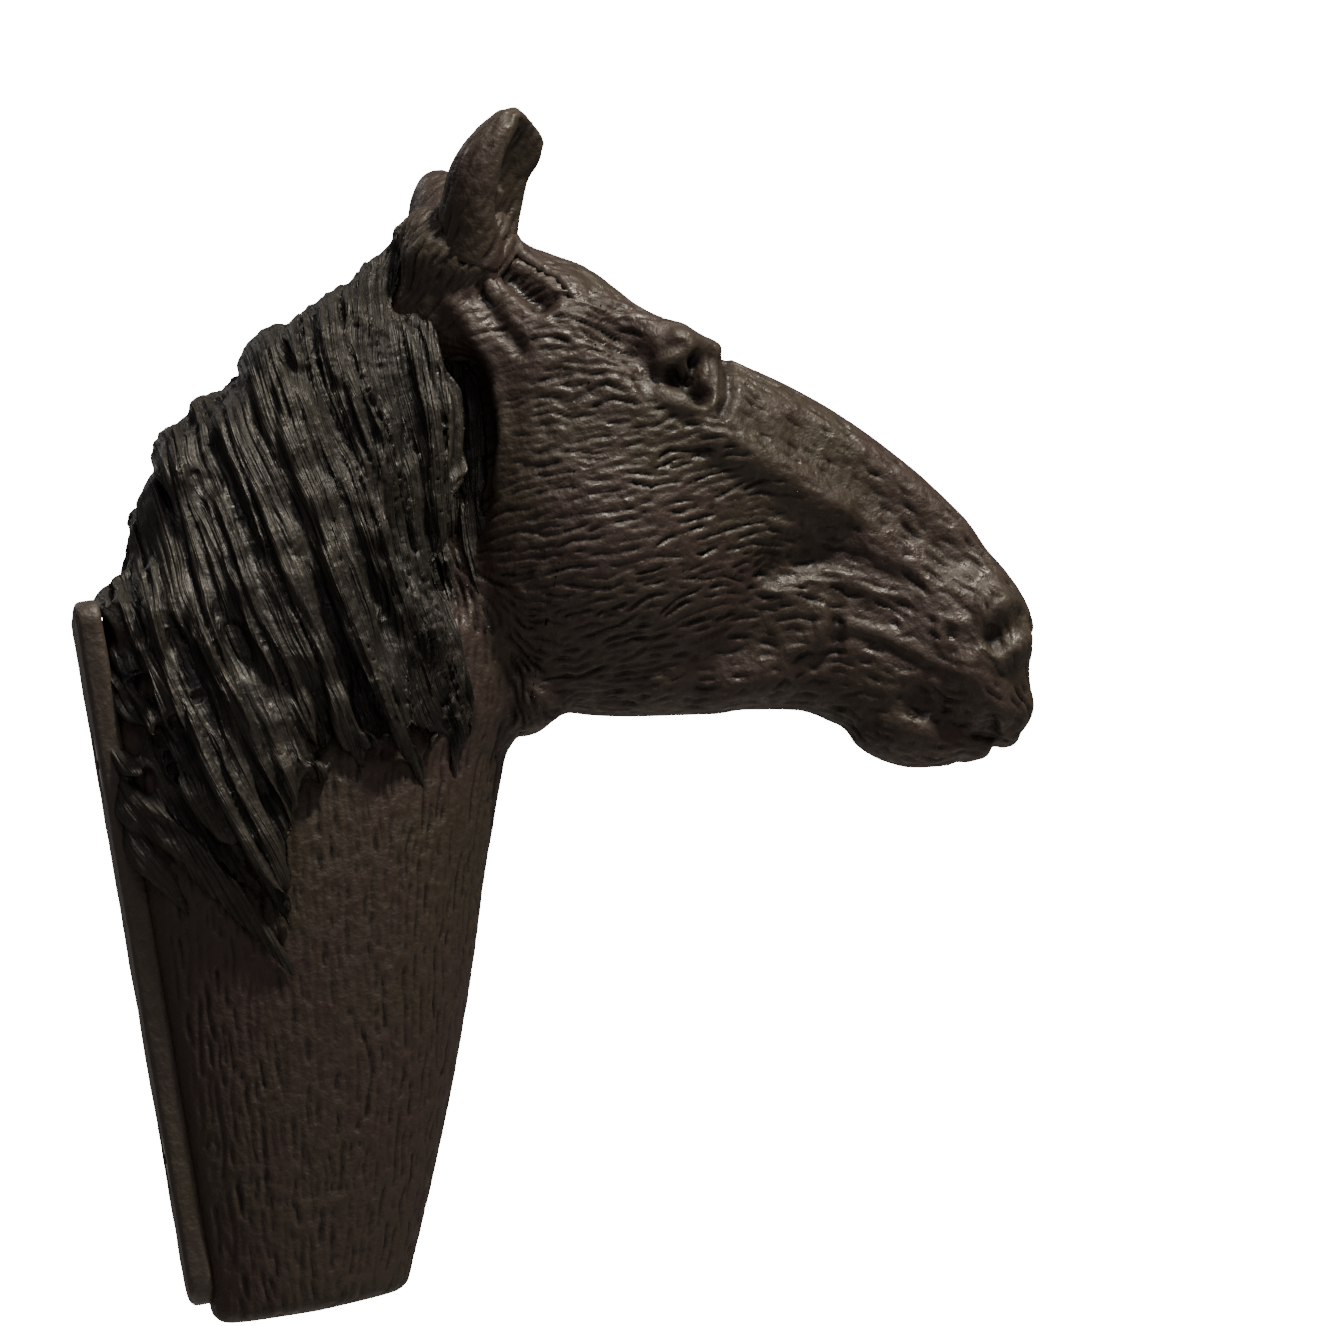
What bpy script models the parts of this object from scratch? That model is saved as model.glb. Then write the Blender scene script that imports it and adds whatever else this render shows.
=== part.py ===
"""A horse-head wall ornament: a carved head and neck screwed to a thin back plate from behind.

Frame: metres, +Z up. The origin is the centre of the back plate's rear face, the plane x = 0 lies on
the wall, and the horse looks along +X. Its right side is at -Y.

The pieces: back_plate, head_and_neck, mane, forelock, right_ear, left_ear, right_eye, left_eye and two
fixing screws. The ears stand on pegs, the eyes sit in sockets, and the mane and forelock are shells that
lie over the carving.
"""

import math

import bmesh
import bpy
import numpy as np
from mathutils import Matrix, Vector

MM = 0.001
GAP = 0.3  # clearance between touching pieces, mm

# Back plate, mm
PLATE_THICK = 1.8
PLATE_TOP = 24.8
PLATE_BOTTOM = -24.8
PLATE_TOP_HALF = 6.6
PLATE_BOTTOM_HALF = 4.2
PLATE_CORNER = 1.8
PLATE_EDGE = 0.35

# Head frame: s runs from the poll to the lips, h towards the forehead, mm
POLL = Vector((30.4, 0.0, 42.1))
NOSE_DOWN = math.radians(44.9)

# Each head section is (s, outline), and an outline runs from the crest of the forehead down one side to
# the underside as (h, half width) pairs.
HEAD_SECTIONS = [
    (-3.0, [(3.9, 0), (3.4, 2.4), (1.8, 4.2), (-0.8, 5.0), (-3.4, 4.6), (-5.4, 2.8), (-6.2, 0)]),
    (2.0, [(5.7, 0), (5.3, 3.2), (3.0, 6.0), (-0.5, 6.9), (-3.4, 6.2), (-5.6, 3.8), (-6.4, 0)]),
    (7.0, [(6.9, 0), (6.4, 4.0), (4.2, 7.0), (0.0, 8.0), (-4.4, 7.4), (-7.6, 4.6), (-8.6, 0)]),
    (11.0, [(7.0, 0), (6.6, 4.6), (4.2, 7.8), (-1.8, 8.3), (-8.6, 7.8), (-14.2, 5.0), (-15.4, 0)]),
    (15.0, [(7.2, 0), (7.0, 5.0), (4.6, 8.4), (-2.4, 8.4), (-10.6, 8.0), (-17.8, 5.4), (-19.0, 0)]),
    (19.0, [(7.6, 0), (6.9, 4.8), (4.0, 7.7), (-2.8, 8.0), (-11.2, 7.9), (-19.0, 5.2), (-20.3, 0)]),
    (23.0, [(8.3, 0), (7.7, 4.2), (4.2, 6.6), (-2.8, 7.2), (-10.8, 7.3), (-18.4, 4.8), (-19.7, 0)]),
    (27.0, [(8.8, 0), (8.2, 3.8), (4.8, 5.8), (-1.8, 6.2), (-9.4, 6.2), (-16.2, 4.0), (-17.3, 0)]),
    (31.0, [(8.9, 0), (8.3, 3.5), (5.2, 5.0), (-0.6, 5.2), (-7.4, 4.9), (-13.2, 3.2), (-14.3, 0)]),
    (35.0, [(8.7, 0), (8.1, 3.2), (5.2, 4.5), (0.0, 4.7), (-5.4, 4.3), (-10.2, 2.8), (-11.2, 0)]),
    (39.0, [(8.1, 0), (7.5, 3.1), (5.0, 4.4), (0.2, 4.9), (-4.2, 4.4), (-7.8, 2.8), (-8.7, 0)]),
    (43.0, [(7.4, 0), (6.8, 3.2), (4.4, 4.8), (0.0, 5.4), (-4.2, 4.6), (-8.2, 3.0), (-9.2, 0)]),
    (46.0, [(6.2, 0), (5.7, 3.2), (3.6, 4.8), (-0.4, 5.2), (-4.2, 4.5), (-7.6, 3.0), (-8.6, 0)]),
    (48.6, [(4.2, 0), (3.8, 2.9), (2.0, 4.2), (-1.0, 4.5), (-3.8, 3.9), (-5.8, 2.5), (-6.6, 0)]),
    (50.8, [(1.0, 0), (0.8, 2.2), (-0.2, 3.1), (-1.6, 3.4), (-2.9, 2.9), (-3.9, 1.8), (-4.3, 0)]),
]
HEAD_RINGS = 34
HEAD_AROUND = 28
HEAD_TIPS = (1.6, 0.9)  # how far the closing poles stand beyond the first and last ring, mm

# Each neck section is (z, outline), and an outline runs from the back round one side to the throat as
# (x, half width) pairs.
NECK_SECTIONS = [
    (-26.4, [(2.1, 0), (2.2, 4.0), (4.8, 5.2), (7.8, 5.3), (11.0, 4.6), (14.0, 2.6), (15.2, 0)]),
    (-17.0, [(2.1, 0), (2.2, 4.8), (5.4, 6.4), (10.0, 6.6), (14.4, 5.8), (18.0, 3.2), (19.2, 0)]),
    (-6.0, [(2.1, 0), (2.2, 5.5), (6.2, 7.4), (12.2, 7.8), (17.8, 6.8), (22.2, 3.7), (23.6, 0)]),
    (3.0, [(2.1, 0), (2.2, 6.0), (7.0, 8.0), (14.0, 8.4), (20.4, 7.2), (25.0, 3.9), (26.6, 0)]),
    (12.0, [(2.1, 0), (2.2, 6.2), (7.0, 8.2), (14.4, 8.4), (22.0, 7.4), (28.6, 4.2), (30.6, 0)]),
    (20.0, [(2.4, 0), (2.6, 5.0), (7.2, 7.4), (14.0, 7.9), (21.6, 7.2), (30.0, 4.8), (33.0, 0)]),
    (26.0, [(5.0, 0), (5.6, 3.4), (9.8, 6.0), (16.0, 7.1), (22.6, 6.8), (29.4, 4.8), (32.6, 0)]),
    (32.0, [(7.8, 0), (8.5, 2.8), (12.8, 5.0), (18.6, 6.2), (24.4, 6.2), (29.8, 4.6), (33.0, 0)]),
    (37.0, [(12.2, 0), (13.0, 2.2), (16.8, 4.1), (21.6, 5.1), (26.2, 5.2), (30.4, 4.0), (33.2, 0)]),
    (40.8, [(18.6, 0), (19.4, 1.9), (22.4, 3.2), (25.6, 3.9), (28.8, 4.0), (31.4, 3.2), (33.2, 0)]),
]
NECK_RINGS = 28
NECK_AROUND = 28
NECK_TIPS = (0.4, 2.4)

# Mane and forelock thickness over the carving, and their outlines in the side view as (x, z), mm
MANE_THICK = 1.9
MANE_OUTLINE = [
    (1.0, 27.0), (2.3, 22.6), (2.2, 18.6), (4.2, 17.6), (2.6, 13.8), (3.2, 8.6), (5.4, 6.0), (8.0, 2.4),
    (11.0, -2.6), (12.2, 3.4), (13.4, 10.4), (15.4, 9.6), (16.6, 12.8), (19.0, 10.2), (19.8, 12.4),
    (23.2, 9.2), (24.4, 12.6), (24.6, 17.0), (24.6, 20.4), (26.4, 24.4), (28.4, 28.6), (29.6, 32.0),
    (29.6, 35.6), (27.6, 39.0), (26.6, 41.6), (28.2, 44.4), (27.0, 50.0), (-2.0, 50.0), (-2.0, 27.0),
]
MANE_FAR_EDGE = 2.6  # the mane crosses the crest this far onto the horse's left side, mm
FORELOCK_THICK = 1.0
FORELOCK_OUTLINE = [
    (36.0, 50.0), (35.8, 44.6), (36.4, 41.6), (38.4, 39.6), (41.0, 38.8), (44.0, 38.4), (44.2, 41.0),
    (41.6, 47.0), (38.0, 50.0),
]
FORELOCK_HALF = 4.4

# Ears: each leans forward (pitch above the horizontal) and outwards (splay), degrees
EAR_LENGTH = 12.4
EAR_BASE_S = -0.1
EAR_BASE_H = 1.9
EAR_BASE_Y = 4.5
EAR_TURN_OUT = 0.62  # how far the opening turns outwards for each step forwards
EAR_SECTIONS = [  # share of the length, half width, half depth, depth of the hollow, mm
    (0.0, 2.9, 2.9, 0.0),
    (0.18, 3.1, 3.0, 1.0),
    (0.40, 3.2, 2.9, 2.6),
    (0.62, 3.0, 2.6, 2.6),
    (0.82, 2.3, 2.0, 1.6),
    (0.95, 1.3, 1.2, 0.4),
]
EAR_RINGS = 16
EAR_AROUND = 28
PEG_RADIUS = 1.0
PEG_LENGTH = 7.0
PEG_RISE = 2.5  # the peg's middle above the root of the ear, mm
EARS = {"right_ear": (-1, 67.0, 12.0), "left_ear": (1, 88.0, 31.0)}

# Eyes
EYE_S = 17.3
EYE_H = 4.6
EYE_Y = 6.7
EYE_RADIUS = 2.0
EYES = {"right_eye": -1, "left_eye": 1}

# Fixing screws, countersunk into the plate's rear face
SCREW_HEIGHTS = {"upper_fixing_screw": 13.5, "lower_fixing_screw": -14.5}
SCREW_HEAD_RADIUS = 2.3
SCREW_SHANK_RADIUS = 1.1
SCREW_RIM = 0.2  # the head's straight rim
SCREW_CONE = 1.2
SCREW_POINT = 1.0
SCREW_LENGTH = 9.0
SCREW_SLOT = (0.7, 0.5)  # width and depth
SCREW_SUNK = 0.1  # how far the head lies below the wall face


def material(name, colour, roughness, metallic=0.0):
    """A Principled material."""
    made = bpy.data.materials.new(name)
    made.use_nodes = True
    shader = made.node_tree.nodes["Principled BSDF"]
    shader.inputs["Base Color"].default_value = (*colour, 1.0)
    shader.inputs["Roughness"].default_value = roughness
    shader.inputs["Metallic"].default_value = metallic
    return made


def new_collection(name):
    made = bpy.data.collections.new(name)
    bpy.context.scene.collection.children.link(made)
    return made


def link(obj, collection, finish=None):
    """Moves obj to the collection, and gives it its material."""
    for old in list(obj.users_collection):
        old.objects.unlink(obj)
    collection.objects.link(obj)
    if finish:
        obj.data.materials.append(finish)
    return obj


def as_cutter(obj, collection):
    link(obj, collection)
    obj.hide_render = True
    obj.display_type = "WIRE"
    return obj


def spline(rows, count):
    """The rows of numbers, joined by a Catmull-Rom curve and read at `count` even steps."""
    rows = np.array(rows, float)
    padded = np.vstack([2 * rows[0] - rows[1], rows, 2 * rows[-1] - rows[-2]])
    places = np.linspace(0, len(rows) - 1, count)
    found = []
    for place in places:
        i = min(int(place), len(rows) - 2)
        t = place - i
        a, b, c, d = padded[i : i + 4]
        bend = 2 * a - 5 * b + 4 * c - d
        twist = 3 * b - a - 3 * c + d
        found.append(0.5 * (2 * b + (c - a) * t + bend * t**2 + twist * t**3))
    return np.array(found)


def even_outline(outline, around):
    """Half an outline as `around` points at even distances along its smooth curve."""
    fine = spline(outline, 120)
    steps = np.linalg.norm(np.diff(fine, axis=0), axis=1)
    run = np.concatenate([[0], np.cumsum(steps)])
    wanted = np.linspace(0, run[-1], around)
    return np.column_stack([np.interp(wanted, run, fine[:, k]) for k in range(2)])


def swell(half, offset):
    """Moves half an outline outwards by offset. Its ends lie on the mid-plane."""
    along = np.gradient(half, axis=0)
    outward = np.column_stack([-along[:, 1], along[:, 0]])
    outward /= np.linalg.norm(outward, axis=1)[:, None]
    if outward[len(half) // 2, 1] < 0:
        outward = -outward
    outward[0, 1] = outward[-1, 1] = 0
    return half + offset * outward


def lofted(name, sections, rings, around, tips, place, offset=0.0):
    """A closed skin through sections. place(along, across, side) gives a point in metres."""
    halves = [even_outline(outline, around // 2 + 1) for _, outline in sections]
    halves = [swell(half, offset) if offset else half for half in halves]
    table = [np.concatenate([[station], half.ravel()]) for (station, _), half in zip(sections, halves)]
    smooth = spline(table, rings)
    mesh = bmesh.new()
    loops = []
    for row in smooth:
        half = row[1:].reshape(-1, 2)
        points = [place(row[0], across, -side) for across, side in half]
        points += [place(row[0], across, side) for across, side in half[-2:0:-1]]
        loops.append([mesh.verts.new(point) for point in points])
    for first, second in zip(loops, loops[1:]):
        for i in range(around):
            j = (i + 1) % around
            mesh.faces.new((first[i], first[j], second[j], second[i]))
    ends = [(loops[0], smooth[0], -tips[0] - offset), (loops[-1], smooth[-1], tips[1] + offset)]
    for loop, station, rise in ends:
        middle = (station[1] + station[-2]) / 2
        pole = mesh.verts.new(place(station[0] + rise, middle, 0))
        for i in range(around):
            mesh.faces.new((loop[i], loop[(i + 1) % around], pole))
    return mesh_object(name, mesh)


def mesh_object(name, mesh):
    bmesh.ops.recalc_face_normals(mesh, faces=mesh.faces)
    data = bpy.data.meshes.new(name)
    mesh.to_mesh(data)
    mesh.free()
    data.shade_smooth()
    obj = bpy.data.objects.new(name, data)
    bpy.context.scene.collection.objects.link(obj)
    return obj


def in_head(s, h, y):
    """A point of the head frame, given in mm, as a point of the row frame in metres."""
    x = POLL.x + s * math.cos(NOSE_DOWN) + h * math.sin(NOSE_DOWN)
    z = POLL.z - s * math.sin(NOSE_DOWN) + h * math.cos(NOSE_DOWN)
    return Vector((x, y, z)) * MM


def head_skin(name, offset=0.0):
    return lofted(name, HEAD_SECTIONS, HEAD_RINGS, HEAD_AROUND, HEAD_TIPS, in_head, offset)


def neck_skin(name, offset=0.0):
    def place(z, x, y):
        return Vector((x, y, z)) * MM

    return lofted(name, NECK_SECTIONS, NECK_RINGS, NECK_AROUND, NECK_TIPS, place, offset)


def prism(name, outline, low, high):
    """The side-view outline (x, z) as a solid from y = low to y = high, mm."""
    mesh = bmesh.new()
    face = mesh.faces.new([mesh.verts.new(Vector((x, low, z)) * MM) for x, z in outline])
    grown = bmesh.ops.extrude_face_region(mesh, geom=[face])
    moved = [v for v in grown["geom"] if isinstance(v, bmesh.types.BMVert)]
    bmesh.ops.translate(mesh, verts=moved, vec=Vector((0, high - low, 0)) * MM)
    return mesh_object(name, mesh)


def cylinder(name, radius, length, centre, direction, vertices=24):
    """A cylinder, in mm, about `centre` along `direction`."""
    bpy.ops.mesh.primitive_cylinder_add(vertices=vertices, radius=radius * MM, depth=length * MM)
    obj = bpy.context.object
    obj.name = name
    turn = Vector(direction).to_track_quat("Z", "Y").to_matrix().to_4x4()
    obj.data.transform(Matrix.Translation(Vector(centre) * MM) @ turn)
    return obj


def sphere(name, radius, centre, segments=24, rings=16):
    bpy.ops.mesh.primitive_uv_sphere_add(segments=segments, ring_count=rings, radius=radius * MM)
    obj = bpy.context.object
    obj.name = name
    obj.data.transform(Matrix.Translation(centre))
    obj.data.shade_smooth()
    return obj


def keep_evaluated(obj):
    """Replaces the object's mesh by what its modifiers make of it."""
    bpy.context.view_layer.update()
    graph = bpy.context.evaluated_depsgraph_get()
    made = bpy.data.meshes.new_from_object(obj.evaluated_get(graph))
    obj.modifiers.clear()
    obj.data = made


def boolean(obj, operation, other):
    """Applies a Boolean, and keeps the largest of the bodies that it leaves."""
    step = obj.modifiers.new(operation.lower(), "BOOLEAN")
    step.operation = operation
    step.object = other
    step.solver = "EXACT"
    keep_evaluated(obj)
    largest_body(obj.data)
    return obj


def largest_body(data):
    """Leaves only the body with the most points in the mesh."""
    mesh = bmesh.new()
    mesh.from_mesh(data)
    bmesh.ops.remove_doubles(mesh, verts=mesh.verts, dist=1e-6)
    bmesh.ops.dissolve_degenerate(mesh, edges=mesh.edges, dist=1e-6)
    left = set(mesh.verts)
    bodies = []
    while left:
        body, edge = set(), [left.pop()]
        while edge:
            vert = edge.pop()
            body.add(vert)
            near = [e.other_vert(vert) for e in vert.link_edges]
            fresh = [v for v in near if v in left]
            left.difference_update(fresh)
            edge.extend(fresh)
        bodies.append(body)
    keep = max(bodies, key=len)
    bmesh.ops.delete(mesh, geom=[v for v in mesh.verts if v not in keep], context="VERTS")
    mesh.to_mesh(data)
    mesh.free()


def make_back_plate(parts, cutters, finish):
    """A flat board with rounded corners, narrower at the foot, with two countersunk holes."""
    mesh = bmesh.new()
    corners = [
        (-PLATE_TOP_HALF, PLATE_TOP), (PLATE_TOP_HALF, PLATE_TOP),
        (PLATE_BOTTOM_HALF, PLATE_BOTTOM), (-PLATE_BOTTOM_HALF, PLATE_BOTTOM),
    ]
    face = mesh.faces.new([mesh.verts.new(Vector((0, y, z)) * MM) for y, z in corners])
    grown = bmesh.ops.extrude_face_region(mesh, geom=[face])
    moved = [v for v in grown["geom"] if isinstance(v, bmesh.types.BMVert)]
    bmesh.ops.translate(mesh, verts=moved, vec=Vector((PLATE_THICK, 0, 0)) * MM)
    upright = [e for e in mesh.edges if abs(e.verts[0].co.x - e.verts[1].co.x) > PLATE_THICK * MM / 2]
    bmesh.ops.bevel(mesh, geom=upright, offset=PLATE_CORNER * MM, segments=6, profile=0.5, affect="EDGES")
    plate = link(mesh_object("back_plate", mesh), parts, finish)
    plate.data.set_sharp_from_angle(angle=math.radians(35))
    rounded = plate.modifiers.new("edge", "BEVEL")
    rounded.width = PLATE_EDGE * MM
    rounded.segments = 2
    rounded.limit_method = "ANGLE"
    rounded.angle_limit = math.radians(50)
    keep_evaluated(plate)
    for name, z in SCREW_HEIGHTS.items():
        boolean(plate, "DIFFERENCE", screw_shape(name + "_hole", z, cutters, GAP))
    return plate


def screw_shape(name, z, collection, grown=0.0):
    """A countersunk screw along +X: its half profile, turned. The grown one cuts the hole for it."""
    start = -1.0 if grown else SCREW_SUNK
    rim = SCREW_SUNK + SCREW_RIM
    end = SCREW_LENGTH + grown
    profile = [
        (start, 0), (start, SCREW_HEAD_RADIUS + grown), (rim, SCREW_HEAD_RADIUS + grown),
        (rim + SCREW_CONE, SCREW_SHANK_RADIUS + grown),
        (end - SCREW_POINT, SCREW_SHANK_RADIUS + grown), (end, 0),
    ]
    mesh = bmesh.new()
    points = [mesh.verts.new(Vector((x, 0, radius)) * MM) for x, radius in profile]
    for first, second in zip(points, points[1:]):
        mesh.edges.new((first, second))
    obj = mesh_object(name, mesh)
    turned = obj.modifiers.new("turned", "SCREW")
    turned.axis = "X"
    turned.steps = turned.render_steps = 24
    turned.use_merge_vertices = True
    turned.merge_threshold = 1e-6
    keep_evaluated(obj)
    obj.data.transform(Matrix.Translation((0, 0, z * MM)))
    mesh = bmesh.new()
    mesh.from_mesh(obj.data)
    bmesh.ops.recalc_face_normals(mesh, faces=mesh.faces)
    mesh.to_mesh(obj.data)
    mesh.free()
    return as_cutter(obj, collection) if grown else link(obj, collection)


def make_screws(parts, cutters, finish):
    for name, z in SCREW_HEIGHTS.items():
        screw = screw_shape(name, z, parts)
        screw.data.materials.append(finish)
        width, depth = SCREW_SLOT
        bpy.ops.mesh.primitive_cube_add(size=1)
        slot = as_cutter(bpy.context.object, cutters)
        slot.name = name + "_slot"
        size = Matrix.Diagonal((2 * (depth + SCREW_SUNK), 3 * SCREW_HEAD_RADIUS, width, 1))
        slot.data.transform(Matrix.Scale(MM, 4) @ Matrix.Translation((0, 0, z)) @ size)
        boolean(screw, "DIFFERENCE", slot)


def ear_axes(side, pitch, splay):
    """(root, along the ear, towards its opening, across) in the row frame."""
    pitch, splay = math.radians(pitch), math.radians(splay)
    root = in_head(EAR_BASE_S, EAR_BASE_H, side * EAR_BASE_Y)
    level = math.cos(splay)
    up = Vector((math.cos(pitch) * level, side * math.sin(splay), math.sin(pitch) * level))
    forward = Vector((1.0, side * EAR_TURN_OUT, -0.1))
    opening = (forward - up * forward.dot(up)).normalized()
    return root, up, opening, up.cross(opening)


def ear_skin(name, grown=0.0):
    """A cupped leaf. The grown one is a cutter, larger all round, with its hollow filled."""
    root, up, opening, across = ear_axes(*EARS[name])
    mesh = bmesh.new()
    loops = []
    turns = np.linspace(0, 2 * math.pi, EAR_AROUND, endpoint=False)
    for share, half_width, half_depth, hollow in spline(EAR_SECTIONS, EAR_RINGS):
        loop = []
        for turn in turns:
            q = (half_width + grown) * math.sin(turn)
            p = (half_depth + grown) * math.cos(turn)
            if p > 0 and not grown:
                p -= hollow * math.cos(turn) * math.exp(-((q / (0.62 * half_width)) ** 2))
            loop.append(mesh.verts.new(root + (up * share * EAR_LENGTH + opening * p + across * q) * MM))
        loops.append(loop)
    for first, second in zip(loops, loops[1:]):
        for i in range(EAR_AROUND):
            j = (i + 1) % EAR_AROUND
            mesh.faces.new((first[i], first[j], second[j], second[i]))
    tip = mesh.verts.new(root + up * (EAR_LENGTH + grown) * MM)
    foot = mesh.verts.new(root - up * grown * MM)
    for loop, pole in ((loops[0], foot), (loops[-1], tip)):
        for i in range(EAR_AROUND):
            mesh.faces.new((loop[i], loop[(i + 1) % EAR_AROUND], pole))
    return mesh_object(name + "_clearance" if grown else name, mesh)


def make_ear(name, parts, cutters, finish):
    """An ear trimmed to the head, on its peg, and the cutter of the peg's socket."""
    root, up, _, _ = ear_axes(*EARS[name])
    ear = link(ear_skin(name), parts, finish)
    as_cutter(ear_skin(name, GAP), cutters)
    boolean(ear, "DIFFERENCE", bpy.data.objects["head_clearance"])
    boolean(ear, "DIFFERENCE", bpy.data.objects["neck_clearance"])
    middle = root / MM + up * PEG_RISE
    peg = as_cutter(cylinder(name + "_peg", PEG_RADIUS, PEG_LENGTH, middle, up), cutters)
    boolean(ear, "UNION", peg)
    socket = cylinder(name + "_socket", PEG_RADIUS + GAP, PEG_LENGTH + 2 * GAP, middle, up)
    return as_cutter(socket, cutters)


def make_eye(name, side, parts, cutters, finish):
    """A polished ball, and the cutter of its socket."""
    centre = in_head(EYE_S, EYE_H, side * EYE_Y)
    link(sphere(name, EYE_RADIUS, centre), parts, finish)
    return as_cutter(sphere(name + "_socket", EYE_RADIUS + GAP, centre), cutters)


def make_carving(parts, cutters, finish, sockets):
    """Head and neck as one block, trimmed flat behind, with sockets for the ears, eyes and screws."""
    neck = link(neck_skin("head_and_neck"), parts, finish)
    boolean(neck, "UNION", as_cutter(head_skin("head_form"), cutters))
    flat = [(-5, -40), (PLATE_THICK + GAP, -40), (PLATE_THICK + GAP, 40), (-5, 40)]
    boolean(neck, "DIFFERENCE", as_cutter(prism("rear_trim", flat, -20, 20), cutters))
    for name, z in SCREW_HEIGHTS.items():
        boolean(neck, "DIFFERENCE", bpy.data.objects[name + "_hole"])
    for socket in sockets:
        boolean(neck, "DIFFERENCE", socket)
    return neck


def make_hair(name, thick, skins, outline, low, high, clear_of, parts, cutters, finish):
    """A shell of hair: the swollen skin inside the side-view outline, hollowed to lie over the carving."""
    hair = link(skins[0](name, thick), parts, finish)
    for skin in skins[1:]:
        boolean(hair, "UNION", as_cutter(skin(name + "_more", thick), cutters))
    boolean(hair, "INTERSECT", as_cutter(prism(name + "_outline", outline, low, high), cutters))
    for other in clear_of:
        boolean(hair, "DIFFERENCE", other)
    return hair


def main():
    for obj in list(bpy.data.objects):
        bpy.data.objects.remove(obj)
    parts = new_collection("horse_head_ornament")
    cutters = new_collection("cutters")
    coat = material("carved_coat", (0.045, 0.038, 0.036), 0.55)
    hair = material("carved_hair", (0.018, 0.017, 0.017), 0.38)
    glass = material("polished_eye", (0.006, 0.005, 0.005), 0.08)
    steel = material("screw_steel", (0.45, 0.45, 0.46), 0.35, 1.0)
    plate_finish = material("plain_plate", (0.04, 0.036, 0.034), 0.5)

    as_cutter(head_skin("head_clearance", GAP), cutters)
    as_cutter(neck_skin("neck_clearance", GAP), cutters)
    make_back_plate(parts, cutters, plate_finish)
    make_screws(parts, cutters, steel)
    sockets = [make_ear(name, parts, cutters, coat) for name in EARS]
    sockets += [make_eye(name, side, parts, cutters, glass) for name, side in EYES.items()]
    make_carving(parts, cutters, coat, sockets)
    clear = [bpy.data.objects[name + "_clearance"] for name in (*EARS, "head", "neck")]
    make_hair(
        "mane", MANE_THICK, [neck_skin], MANE_OUTLINE, -15, MANE_FAR_EDGE, clear, parts, cutters, hair
    )
    make_hair(
        "forelock", FORELOCK_THICK, [head_skin], FORELOCK_OUTLINE, -FORELOCK_HALF, FORELOCK_HALF,
        clear, parts, cutters, hair,
    )


main()
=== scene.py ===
import math

import bpy
import numpy as np
from mathutils import Matrix, Vector, noise
from mathutils.bvhtree import BVHTree
from mathutils.kdtree import KDTree


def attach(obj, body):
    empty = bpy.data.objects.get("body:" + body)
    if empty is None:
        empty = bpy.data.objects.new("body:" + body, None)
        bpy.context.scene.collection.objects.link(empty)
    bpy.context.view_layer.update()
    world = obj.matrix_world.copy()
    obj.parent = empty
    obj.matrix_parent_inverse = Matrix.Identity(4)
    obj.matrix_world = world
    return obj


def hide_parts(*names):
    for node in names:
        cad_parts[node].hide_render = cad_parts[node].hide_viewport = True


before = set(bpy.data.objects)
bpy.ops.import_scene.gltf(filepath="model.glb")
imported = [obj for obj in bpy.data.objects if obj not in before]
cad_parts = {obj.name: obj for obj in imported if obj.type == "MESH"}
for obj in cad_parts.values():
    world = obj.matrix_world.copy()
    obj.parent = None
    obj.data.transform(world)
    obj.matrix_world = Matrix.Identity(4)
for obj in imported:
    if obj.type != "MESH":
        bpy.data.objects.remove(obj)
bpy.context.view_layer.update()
mm = 0.001
rng = np.random.default_rng(7)

# The head has its own side view: s runs from the poll to the lips, h towards the forehead
headAxes = {"pollX": 30.4, "pollZ": 42.1, "noseDown": math.radians(44.9)}


def headPoint(s, h):
    # (s, h) of the head as (x, z) of the whole ornament
    turn = headAxes["noseDown"]
    x = headAxes["pollX"] + s * math.cos(turn) + h * math.sin(turn)
    z = headAxes["pollZ"] - s * math.sin(turn) + h * math.cos(turn)
    return x, z


def headPlace(x, z):
    # the same, the other way round
    turn = headAxes["noseDown"]
    dx, dz = x - headAxes["pollX"], z - headAxes["pollZ"]
    return dx * math.cos(turn) - dz * math.sin(turn), dx * math.sin(turn) + dz * math.cos(turn)


def deselectAll():
    if bpy.context.object and bpy.context.object.mode != "OBJECT":
        bpy.ops.object.mode_set(mode="OBJECT")
    bpy.ops.object.select_all(action="DESELECT")


def pick(piece):
    deselectAll()
    piece.select_set(True)
    bpy.context.view_layer.objects.active = piece


def editWhole(piece, step, **settings):
    # one edit mode operator on the whole mesh
    pick(piece)
    bpy.ops.object.mode_set(mode="EDIT")
    bpy.ops.mesh.select_all(action="SELECT")
    step(**settings)
    bpy.ops.object.mode_set(mode="OBJECT")


def applyModifier(piece, kind, **settings):
    pick(piece)
    step = piece.modifiers.new(kind.lower(), kind)
    for name, value in settings.items():
        setattr(step, name, value)
    bpy.ops.object.modifier_apply(modifier=step.name)


def remesh(piece, voxel):
    applyModifier(piece, "REMESH", mode="VOXEL", voxel_size=voxel * mm, adaptivity=0.0, use_smooth_shade=True)


def soften(piece, rounds, strength=0.5):
    applyModifier(piece, "SMOOTH", factor=strength, iterations=rounds)


def joined(pieces, name):
    deselectAll()
    for piece in pieces:
        piece.select_set(True)
    bpy.context.view_layer.objects.active = pieces[0]
    bpy.ops.object.join()
    pieces[0].name = name
    return pieces[0]


def twinOf(piece, name):
    twin = bpy.data.objects.new(name, piece.data.copy())
    bpy.context.scene.collection.objects.link(twin)
    return twin


def copyOfNode(node, name):
    # a CAD node is loose triangles, so a copy of it is merged before it is worked on
    piece = twinOf(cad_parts[node], name)
    piece.data.materials.clear()
    editWhole(piece, bpy.ops.mesh.remove_doubles, threshold=1e-6)
    return piece


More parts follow.
